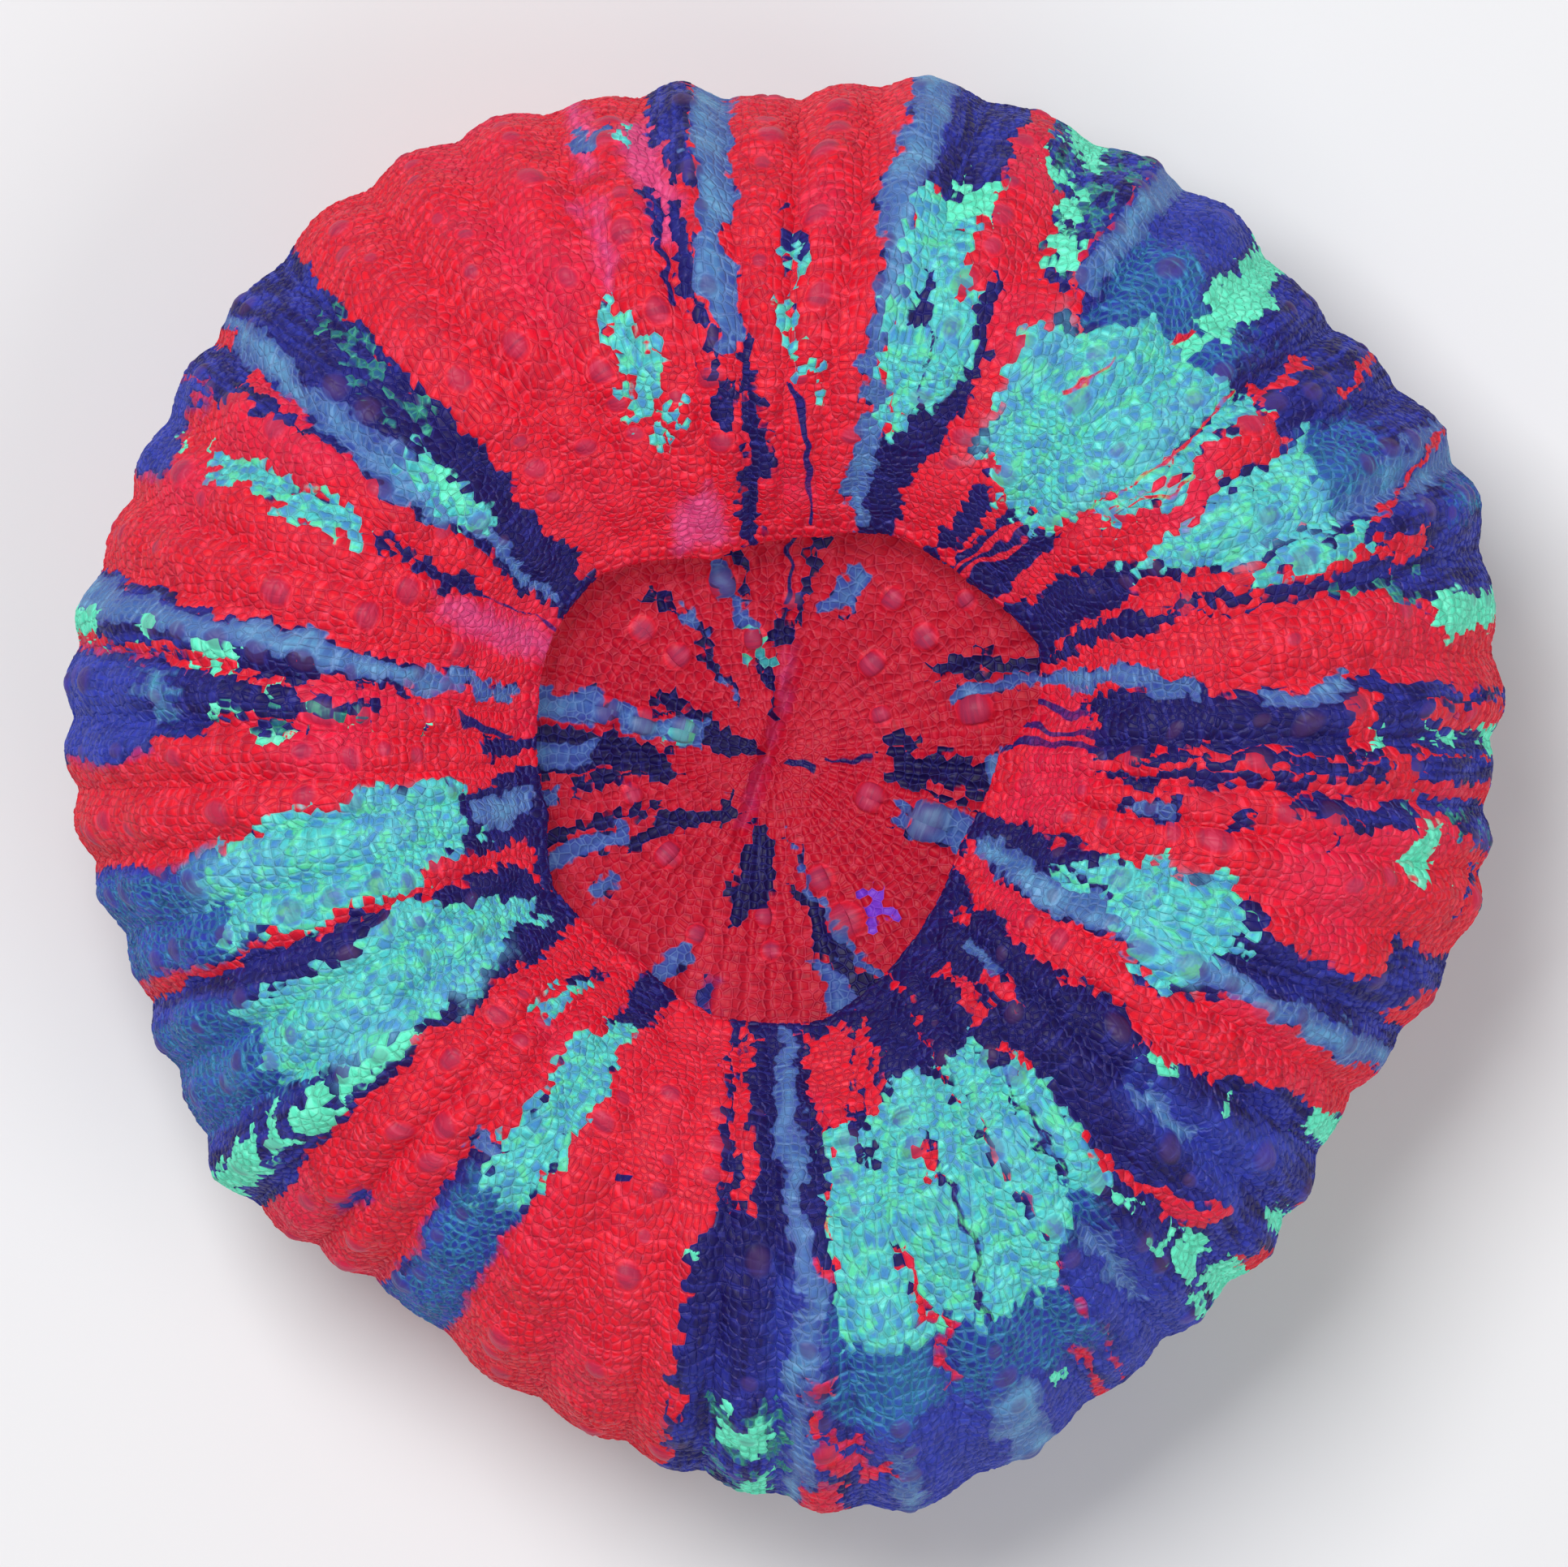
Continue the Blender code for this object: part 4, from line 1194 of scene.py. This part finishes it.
def shape_foot(foot):
    """Spreads the drum towards the rim and raises its ribs."""
    data = np.empty(3 * len(foot.data.vertices))
    foot.data.vertices.foreach_get("co", data)
    x, y, z = data.reshape(-1, 3).T / MM
    angle = np.degrees(np.arctan2(y, x)) % 360.0
    out = np.hypot(x, y) / FOOT_RADIUS
    heights, rim_shares, centre_shares = np.array(FOOT_KNOTS).T
    rim_share = np.interp(z, heights, rim_shares)
    centre_share = np.interp(z, heights, centre_shares)
    rib = RIB_HEIGHT * (ridge_shape(angle) - 0.5)
    fine = FINE_RIB_HEIGHT * np.cos(2.0 * np.pi * FINE_RIBS * ridge_count(angle))
    reach = FOOT_RADIUS + rim_share * (rim_reach(angle) - FOOT_RADIUS) + rib + fine * np.minimum(1.0, z)
    reach *= out
    x = MOUTH_X * centre_share + reach * np.cos(np.radians(angle))
    y = MOUTH_Y * centre_share + reach * np.sin(np.radians(angle))
    write_places(foot, np.stack((x, y, z), axis=1))


def grain_tree():
    """Geometry nodes that roughen the stone everywhere but on the cut."""
    tree, bench, stone = shaping_tree("grains")
    place = bench.node("GeometryNodeInputPosition", {}, {})
    clear_of_cut = bench.rise(place.dot((0.0, 0.0, 1.0 / MM)), 0.05, 0.6)
    lumps = bench.noise(place, 900.0, 3.0) + 0.7 * bench.noise(place, 2600.0, 1.0) - 0.85
    push_out(bench, stone, lumps * clear_of_cut * (2.0 * GRAIN * MM))
    return tree


foot = foot_blank()
shape_foot(foot)
apply_modifier(foot, "NODES", "Grains", node_group=grain_tree())
deselect()
foot.select_set(True)
bpy.context.view_layer.objects.active = foot
bpy.ops.object.shade_smooth_by_angle(angle=math.radians(50.0))
lowest_point = min(vertex.co.z for vertex in foot.data.vertices)
print("Foot:", len(foot.data.polygons), "faces, lowest at", round(lowest_point / MM, 2))

# %% [markdown]
# ## The colours of the flesh
# A fluorescent coral glows more than it reflects. So every colour has three shades: the body of a
# vesicle, a brighter one painted as a highlight on the rim of its outer side, over the skin's own
# bright net, and a dark one painted as shade in the crack where the next one overlaps it. Both also
# paint lighter and darker marks of the skin's own, such as its grain and its cross lines.
# They were chosen as screen colours, and then adjusted until a render came near the photo.

# %% Three shades of every colour
def srgb(red, green, blue):
    """A screen colour, each part up to 255, as the numbers that a shader takes."""
    shader_numbers = []
    for part in (red / 255.0, green / 255.0, blue / 255.0):
        shader_numbers.append(part / 12.92 if part < 0.04045 else ((part + 0.055) / 1.055) ** 2.4)
    return (*shader_numbers, 1.0)


SHADES = {
    "red": ((212, 8, 34), (255, 78, 106), (104, 4, 38)),
    "lilac": ((214, 74, 136), (244, 110, 176), (130, 24, 90)),
    "violet": ((130, 62, 214), (176, 96, 250), (76, 24, 140)),
    "navy": ((20, 8, 74), (56, 60, 164), (8, 2, 40)),
    "blue": ((36, 44, 138), (78, 98, 206), (14, 12, 74)),
    "steel": ((60, 98, 160), (136, 180, 222), (44, 56, 134)),
    "speck": ((30, 52, 138), (84, 200, 222), (16, 18, 84)),
    "cyan": ((72, 188, 190), (142, 255, 232), (12, 54, 84)),
    "aqua": ((92, 170, 204), (134, 210, 226), (58, 112, 160)),
    "fleck": ((30, 96, 112), (104, 240, 168), (20, 60, 80)),
    "mint": ((92, 226, 188), (150, 255, 222), (34, 130, 104)),
    "dark_vein": ((30, 18, 92), (56, 48, 150), (14, 8, 56)),
    "red_vein": ((206, 26, 52), (246, 62, 84), (140, 10, 40)),
}
BUBBLE_DUSK = srgb(84, 52, 94)
STEEL_EDGE = srgb(44, 54, 140)
PALE_STEEL = srgb(96, 162, 194)
AQUA_GLINT = srgb(66, 130, 200)
GREEN_GLINT = srgb(88, 210, 140)
BLUE_HAZE = srgb(44, 56, 172)
PINK_GLOW = srgb(222, 44, 104)
# The colour of a painted wet highlight on a few rims.
WET_HIGHLIGHT = srgb(236, 196, 244)
print(len(SHADES), "colours in three shades")

# %% [markdown]
# ## What the finish reads
# The finish knows the flesh by the numbers that were stored on it, by the vesicle that a point lies
# in, and by a few noises on the flat sheet. They are gathered in one place, so that every step below
# can share them, because each further noise makes a render longer.

# %% Gather what a point of the skin knows
class Skin:
    """The stored numbers, the vesicle and the noises at a point of the skin."""

    def __init__(self, bench):
        self.bench = bench
        self.sheet = self.stored("sheet")
        cell, self.edge, self.to_middle = skin_cells(bench, self.sheet)
        chances = cell.other("Color")
        self.chance_a = chances.dot((1.0, 0.0, 0.0))
        self.chance_b = chances.dot((0.0, 1.0, 0.0))
        self.chance_c = chances.dot((0.0, 0.0, 1.0))
        self.ring = self.stored("ring", "Fac")
        self.on_disc = self.stored("disc", "Fac")
        self.dome = self.stored("bubble", "Fac")
        self.on_dome = bench.rise(self.dome, 0.03, 0.15)
        self.ripple = self.stored("ripple")
        self.outwards = self.sheet.vector("NORMALIZE")
        self.striae = bench.noise(self.ripple, 1.0, 2.0)
        self.beads = bench.noise(self.sheet, 1.3, 1.0) - 0.5
        self.tint = bench.noise(self.sheet, 1.3, 4.0)
        self.fine = bench.noise(self.sheet, 5.0, 2.0)
        self.slow = bench.noise(self.sheet, 0.09, 3.0)

    def stored(self, name, output="Vector"):
        """Numbers that the model keeps for every point."""
        return self.bench.node("ShaderNodeAttribute", {"attribute_name": name}, {}).other(output)


print("The skin keeps", ", ".join(attribute.name for attribute in flesh.data.attributes))

# %% [markdown]
# ## Which colour a point takes
# Most colours fill whole vesicles: the depth is carried to the vesicle's middle by its slope, and
# every vesicle has a small chance of its own to fall to the other side of a border. Cyan crumbles
# more than the rest. Steel, blue, lilac and aqua melt into their neighbours, the specks are a
# loose lace, flecks are strewn on navy only, and veins are thin lines across the vesicles.

# %% Work out a share for every colour
BORDER_JITTER = 0.4
CYAN_CRUMBLE = 2.2
CRISP = 0.03
LILAC_STRENGTH = 0.7


def colour_masks(bench, skin):
    """The share of every colour, nought to one, and how far inside a steel band a point lies."""
    at_middle = skin.to_middle.vector("ADD", (0.0, 0.0, 1.0))
    jitter = BORDER_JITTER * (skin.chance_a - 0.5)
    masks = {}
    smooth_depths = {}
    for colour in COLOURS:
        depth = skin.stored(colour)
        by_cell = depth.dot(at_middle) + (CYAN_CRUMBLE if colour == "cyan" else 1.0) * jitter
        smooth = depth.dot((0.0, 0.0, 1.0))
        smooth_depths[colour] = smooth
        if colour == "steel":
            masks[colour] = bench.rise(smooth + 1.4 * skin.beads + 0.35 * (skin.striae - 0.5), -0.1, 0.1)
        elif colour in ("blue", "lilac", "aqua"):
            masks[colour] = bench.rise(smooth + 1.2 * skin.beads + 0.4 * jitter, -0.5, 0.8)
        elif colour == "speck":
            masks[colour] = bench.rise(smooth + 2.0 * skin.beads + jitter, -0.3, 0.7)
        elif colour == "fleck":
            strewn = bench.rise(bench.noise(skin.sheet, 0.8, 1.0) + 0.2 * skin.chance_b, 0.6, 0.68)
            masks[colour] = bench.rise(by_cell, -CRISP, CRISP) * strewn
        elif colour in ("dark_vein", "red_vein"):
            masks[colour] = bench.rise(smooth, -CRISP, 0.05)
        else:
            masks[colour] = bench.rise(by_cell, -CRISP, CRISP)
    masks["lilac"] = LILAC_STRENGTH * masks["lilac"]
    masks["fleck"] = masks["fleck"] * masks["navy"]
    masks["aqua"] = masks["aqua"] * (masks["navy"] + masks["cyan"]).maths("MINIMUM", 1.0)
    return masks, bench.rise(smooth_depths["steel"] + skin.beads, 0.0, 0.7)


def shade(bench, masks, which):
    """One of the three shades of every colour, laid over each other in the order of the colours."""
    joined = srgb(*SHADES["red"][which])
    for colour in COLOURS:
        joined = bench.mix(joined, srgb(*SHADES[colour][which]), masks[colour])
    return joined


print("Laid in this order over the red ground:", ", ".join(COLOURS))

# %% [markdown]
# ## Steel, glints and haze
# Steel bands are smooth skin with fine cross lines, paler in places and darker along their edges.
# Cyan glints blue and green from vesicle to vesicle. Near the rim the navy has a haze of bright blue
# fibres that run outwards.

# %% Dress the bodies of the vesicles
AQUA_SMOOTHNESS = 0.75
STEEL_PALENESS = 0.65
STEEL_EDGING = 0.9
CROSS_LINES = 0.7
BLUE_GLINTS = 0.85
GREEN_GLINTS = 0.75
FIBRE_STRETCH = (3.5, 0.1, 1.0)
HAZE = 0.8
HAZE_STARTS = 24.0
HAZE_FULL = 38.0


def dressed_body(bench, skin, masks, steel_heart, rim, shadow_and_dark_tone):
    """The body shade with what lies inside single colours, and the share of smooth skin."""
    body = shade(bench, masks, 0)
    off_cyan = (1.0 - masks["cyan"]) * (1.0 - masks["mint"]) * (1.0 - masks["red_vein"])
    on_steel = masks["steel"] * off_cyan
    smooth_skin = (on_steel + AQUA_SMOOTHNESS * masks["aqua"]).maths("MINIMUM", 1.0)
    pale = bench.rise(bench.noise(skin.sheet, 0.3, 2.0), 0.42, 0.62)
    body = bench.mix(body, PALE_STEEL, STEEL_PALENESS * pale * on_steel)
    body = bench.mix(body, STEEL_EDGE, STEEL_EDGING * on_steel * (1.0 - steel_heart))
    lined = CROSS_LINES * smooth_skin
    body = bench.mix(body, shadow_and_dark_tone, lined * bench.rise(skin.striae, 0.5, 0.62))
    body = bench.mix(body, rim, lined * (1.0 - bench.rise(skin.striae, 0.34, 0.45)))
    glint = masks["cyan"] * (1.0 - masks["mint"])
    bluish = bench.rise(skin.tint + 0.3 * (skin.chance_b - 0.5), 0.5, 0.66)
    greenish = 1.0 - bench.rise(skin.tint, 0.36, 0.48)
    body = bench.mix(body, AQUA_GLINT, BLUE_GLINTS * glint * bluish)
    body = bench.mix(body, GREEN_GLINT, GREEN_GLINTS * glint * greenish)
    fibres = bench.noise(skin.ripple.vector("MULTIPLY", FIBRE_STRETCH), 1.0, 3.0)
    far_out = bench.rise(skin.ring, HAZE_STARTS, HAZE_FULL)
    hazy = masks["navy"] * far_out * bench.rise(fibres, 0.38, 0.62)
    body = bench.mix(body, BLUE_HAZE, HAZE * hazy * off_cyan * (1.0 - on_steel))
    return body, smooth_skin


print("The haze grows from ring", HAZE_STARTS, "to ring", HAZE_FULL, "of", RINGS)

# %% [markdown]
# ## Rims and cracks
# On the mantle the vesicles overlap like scales, so the outer side of each is painted bright as a
# highlight and the inner side painted dark as shade in the crack. On the oral disc a painted
# highlight runs all round each vesicle over the skin's own bright net, a net of thin bright lines
# round dark bodies. The edges are made ragged by fine noise, and a few rims get a painted wet highlight.

# %% Draw the vesicles
RAGGEDNESS = 0.16
INNER_RIM = 0.15
FAINTEST_RIM = 0.6
CRACK_SHADE_NARROWEST = 0.14
CRACK_SHADE_WIDEST = 0.4
MANTLE_DEEP = 0.4
DISC_DEEP = 0.8
PINKNESS = 0.22
DARK_GRAIN = 0.3
LIGHT_PATCHES = 0.25
WET_HIGHLIGHT_SHARE = 0.3


def drawn_vesicles(bench, skin, masks, body, rim, shadow_and_dark_tone, plain):
    """The body shade with rims of painted highlight, cracks of painted shade and the skin's grain drawn on
    it.
    """
    away = skin.outwards.dot(skin.to_middle)
    outer_side = 1.0 - bench.rise(away, -0.12, 0.08)
    all_round = (outer_side + 0.7 * skin.on_disc).maths("MINIMUM", 1.0)
    ragged = skin.edge + RAGGEDNESS * (skin.fine - 0.5)
    line = bench.rise(ragged, 0.1 - 0.06 * skin.on_disc, 0.26 - 0.12 * skin.on_disc)
    # The rim share is a painted highlight on the outer side of each vesicle, and all round it on the disc.
    rim_share = (1.0 - line) * (INNER_RIM + (1.0 - INNER_RIM) * all_round)
    rim_share = rim_share * (FAINTEST_RIM + (1.0 - FAINTEST_RIM) * skin.chance_c)
    rim_share = rim_share * plain * (1.0 - 0.8 * skin.on_dome)
    # The crack share is painted shade on the inner side, where the next vesicle overlaps.
    widened = (CRACK_SHADE_WIDEST - CRACK_SHADE_NARROWEST) * bench.rise(skin.tint, 0.4, 0.66)
    crack_shade_width = CRACK_SHADE_NARROWEST + widened
    crack_shade = (1.0 - bench.rise(ragged, 0.02, crack_shade_width)) * (1.0 - all_round)
    crack_shade = crack_shade * plain * (1.0 - 0.9 * skin.on_dome)
    deep = MANTLE_DEEP * bench.rise(skin.chance_b, 0.35, 1.0) * (1.0 - skin.on_disc)
    deep = deep + DISC_DEEP * skin.on_disc
    deep = deep * plain * (1.0 - 0.5 * skin.on_dome)
    glowing = bench.rise(skin.slow, 0.52, 0.66) * (1.0 - masks["navy"]) * (1.0 - skin.on_disc)
    colour = bench.mix(body, PINK_GLOW, PINKNESS * glowing)
    colour = bench.mix(colour, shadow_and_dark_tone, deep)
    colour = bench.mix(colour, shadow_and_dark_tone, DARK_GRAIN * plain * (1.0 - bench.rise(skin.fine, 0.32, 0.5)))
    colour = bench.mix(colour, rim, rim_share)
    colour = bench.mix(colour, rim, LIGHT_PATCHES * plain * (1.0 - bench.rise(skin.slow, 0.25, 0.5)))
    # A painted wet highlight sparkles on a few rims.
    wet_highlight_mask = bench.rise(skin.fine, 0.55, 0.72) * rim_share * (1.0 - 0.6 * skin.on_disc)
    colour = bench.mix(colour, WET_HIGHLIGHT, WET_HIGHLIGHT_SHARE * wet_highlight_mask)
    return bench.mix(colour, shadow_and_dark_tone, crack_shade)


print("Cracks fade out within", CRACK_SHADE_WIDEST / CELLS_PER_MM, "mm of a vesicle's edge")

# %% [markdown]
# ## Bubbles, spokes and wrinkles
# A bubble is see-through, so its middle is dusky and a faint ring of light runs round its foot. The
# oral disc, in the shade of the lip, is darkened a little as painted shade, and thin dark spokes of
# painted shade cross it along its fine wrinkles. Wrinkles too low to be modelled run across the ridges
# of the mantle, so they and the finest edges of the vesicles are left to a bump.

# %% Mark the bubbles and the spokes, and give the bump its height
DUSKY_SKIN = 0.6
SPOKES = 180
SPOKES_WAVE = 4.2
DISC_SHADE = 0.12
SPOKE_SHADE = 0.6
WRINKLES_ROUND = 7.0
WRINKLES_OUT = 0.8
EDGE_RELIEF = 0.45
WRINKLE_RELIEF = 2.2


def marked_bubbles(bench, skin, colour, body, rim):
    """A dusky middle and a ring of light on every bubble."""
    ring_light = bench.rise(skin.dome, 0.02, 0.08) * (1.0 - bench.rise(skin.dome, 0.12, 0.24))
    dusk = bench.rise(skin.dome, 0.06, 0.5)
    colour = bench.mix(colour, rim, (0.08 + 0.04 * skin.on_disc) * ring_light)
    dusky = bench.mix(body, BUBBLE_DUSK, DUSKY_SKIN)
    return bench.mix(colour, dusky, (0.65 + 0.15 * skin.on_disc) * dusk)


def spokes(bench, sheet, colour, shadow_and_dark_tone):
    """Painted shade: the oral disc under the lip is a little darker, and thin dark lines of shade run out
    over it like spokes.
    """
    x = sheet.dot((1.0, 0.0, 0.0))
    y = sheet.dot((0.0, 1.0, 0.0))
    turn = y.maths("ARCTAN2", x)
    wobble = SPOKES_WAVE * (bench.noise(sheet, 0.5, 2.0) - 0.5)
    line = (turn * (0.5 * SPOKES) + wobble).maths("SINE").maths("ABSOLUTE")
    reach = (x * x + y * y).maths("SQRT")
    share = (1.0 - bench.rise(line, 0.1, 0.5)) * bench.rise(reach, 4.0, 11.0)
    # Painted shade over the whole disc, and more along the spokes.
    return bench.mix(colour, shadow_and_dark_tone, DISC_SHADE + SPOKE_SHADE * share)


def low_relief(bench, skin):
    """The height for the bump: edges of vesicles, raised on the disc, and wrinkles on the mantle."""
    round_and_out = bench.node("ShaderNodeCombineXYZ", {}, {
        "X": WRINKLES_ROUND * skin.outwards.dot((1.0, 0.0, 0.0)),
        "Y": WRINKLES_ROUND * skin.outwards.dot((0.0, 1.0, 0.0)),
        "Z": WRINKLES_OUT * skin.ring,
    })
    wrinkles = bench.noise(round_and_out, 1.0, 1.0)
    edges = bench.rise(skin.edge, 0.0, 0.2) * (1.0 - 0.8 * skin.on_dome) * (1.0 - DISC_NET * skin.on_disc)
    return EDGE_RELIEF * edges + WRINKLE_RELIEF * wrinkles * (1.0 - skin.on_disc)


print(SPOKES, "spokes cross the oral disc")

# %% [markdown]
# ## The skin put together
# The colours are laid over each other from the body up to the bubbles. The same colour is what the
# skin reflects and what it gives off as a weak glow, and the bump turns the light on the wrinkles.

# %% Paint the flesh
GLOW = 0.26
WET_ROUGHNESS = 0.5
WET_SHINE = 0.25
BUMP_DEPTH = 0.22
BUMP_STRENGTH = 0.9


def flesh_finish():
    """The wet living skin."""
    material = bpy.data.materials.new("living_flesh")
    material.use_nodes = True
    bench = Bench(material.node_tree)
    skin = Skin(bench)
    masks, steel_heart = colour_masks(bench, skin)
    # The brighter shade paints highlights and the dark one paints shade, as well as the skin's own lighter
    # and darker marks.
    rim = shade(bench, masks, 1)
    shadow_and_dark_tone = shade(bench, masks, 2)
    body, smooth_skin = dressed_body(bench, skin, masks, steel_heart, rim, shadow_and_dark_tone)
    colour = drawn_vesicles(bench, skin, masks, body, rim, shadow_and_dark_tone, 1.0 - smooth_skin)
    colour = marked_bubbles(bench, skin, colour, body, rim)
    spoked = spokes(bench, skin.sheet, colour, shadow_and_dark_tone)
    colour = bench.mix(colour, spoked, skin.on_disc * (1.0 - skin.on_dome))
    relief = low_relief(bench, skin)
    bump = bench.node("ShaderNodeBump", {},
                      {"Strength": BUMP_STRENGTH, "Distance": BUMP_DEPTH * MM, "Height": relief})
    shader = material.node_tree.nodes["Principled BSDF"]
    links = material.node_tree.links
    links.new(colour.socket, shader.inputs["Base Color"])
    links.new(colour.socket, shader.inputs["Emission Color"])
    links.new(bump.socket, shader.inputs["Normal"])
    shader.inputs["Emission Strength"].default_value = GLOW
    shader.inputs["Roughness"].default_value = WET_ROUGHNESS
    shader.inputs["Specular IOR Level"].default_value = WET_SHINE
    return material


living = flesh_finish()
for piece in flesh_pieces:
    piece.data.materials.append(living)
print("Painted", len(flesh_pieces), "pieces of flesh")

# %% [markdown]
# ## The stone finish
# Coral stone is chalky and pale, stained brown in its hollows, with thin pink crusts of algae that
# grow in patches. Slow noise lays the patches and fast noise breaks their edges.

# %% Paint the foot
STONE = srgb(222, 212, 190)
STAIN = srgb(176, 152, 118)
CRUST = srgb(182, 96, 128)
PITS = srgb(120, 100, 78)
CHALKY = 0.85


def stone_finish():
    """Pale coral stone with crusts on it."""
    material = bpy.data.materials.new("coral_stone")
    material.use_nodes = True
    bench = Bench(material.node_tree)
    shader = material.node_tree.nodes["Principled BSDF"]
    place = bench.node("ShaderNodeTexCoord", {}, {}).other("Object")
    slow = bench.noise(place, 160.0, 4.0)
    fast = bench.noise(place, 1800.0, 3.0)
    crust = bench.rise(slow + 0.3 * (fast - 0.5), 0.52, 0.58)
    stain = bench.rise(bench.noise(place, 420.0, 5.0), 0.45, 0.7)
    above_cut = bench.rise(place.dot((0.0, 0.0, 1.0 / MM)), 0.1, 0.5)
    colour = bench.mix(STONE, STAIN, stain)
    colour = bench.mix(colour, CRUST, 0.8 * crust * above_cut)
    colour = bench.mix(colour, PITS, 0.35 * bench.rise(fast, 0.55, 0.7))
    bump = bench.node("ShaderNodeBump", {}, {"Strength": 0.5, "Distance": 0.15 * MM, "Height": fast})
    links = material.node_tree.links
    links.new(colour.socket, shader.inputs["Base Color"])
    links.new(bump.socket, shader.inputs["Normal"])
    shader.inputs["Roughness"].default_value = CHALKY
    return material


foot.data.materials.append(stone_finish())
print("Painted the", foot.name.replace("_", " "))

# %% [markdown]
# ## Floor, light and camera
# The coral lies on a plain pale floor. One large soft lamp stands high on the photo's upper left, a
# weaker one opposite fills the shadows, and the camera looks straight down from far off.

# %% Set the stage
FLOOR_SIZE = 1.2
FLOOR_COLOUR = srgb(232, 232, 234)
ROOM_LIGHT = 0.3
CAMERA_X = 0.02
CAMERA_Y = 0.56
CAMERA_HEIGHT = 1200.0
VIEW_WIDTH = 87.07
SENSOR = 36.0

deselect()
bpy.ops.mesh.primitive_plane_add(size=FLOOR_SIZE)
floor = bpy.context.object
floor.name = "pale_floor"
floor_finish = bpy.data.materials.new("pale_floor")
floor_finish.use_nodes = True
floor_shader = floor_finish.node_tree.nodes["Principled BSDF"]
floor_shader.inputs["Base Color"].default_value = FLOOR_COLOUR
floor_shader.inputs["Roughness"].default_value = 0.8
floor.data.materials.append(floor_finish)


def add_lamp(name, place, size, power):
    """A square soft lamp that points at the middle of the coral."""
    lamp = bpy.data.objects.new(name, bpy.data.lights.new(name, "AREA"))
    bpy.context.collection.objects.link(lamp)
    lamp.location = place
    lamp.data.size = size
    lamp.data.energy = power
    lamp.rotation_euler = lamp.location.to_track_quat("Z", "Y").to_euler()


add_lamp("key", place=(-0.2, 0.24, 0.6), size=0.32, power=3.4)
add_lamp("fill", place=(0.35, -0.3, 0.45), size=0.5, power=1.4)
world = bpy.data.worlds.new("studio")
world.use_nodes = True
world.node_tree.nodes["Background"].inputs["Color"].default_value = (1.0, 1.0, 1.0, 1.0)
world.node_tree.nodes["Background"].inputs["Strength"].default_value = ROOM_LIGHT
bpy.context.scene.world = world
bpy.context.scene.view_settings.view_transform = "Standard"

camera = bpy.data.objects.new("camera", bpy.data.cameras.new("camera"))
bpy.context.collection.objects.link(camera)
camera.location = (CAMERA_X * MM, CAMERA_Y * MM, CAMERA_HEIGHT * MM)
camera.data.sensor_width = SENSOR
camera.data.lens = SENSOR * (CAMERA_HEIGHT - RIM_Z) / VIEW_WIDTH
bpy.context.scene.camera = camera
print("The camera sees", VIEW_WIDTH, "mm across at the height of the rim")

# %% [markdown]
# ## Handing over
# All pieces ride on the one body and stand for the solid coral.

# %% Tell the frame about the pieces
for piece in flesh_pieces:
    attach(piece, "root")
    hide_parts("scolymia_coral")
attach(foot, "root")
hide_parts("scolymia_coral")
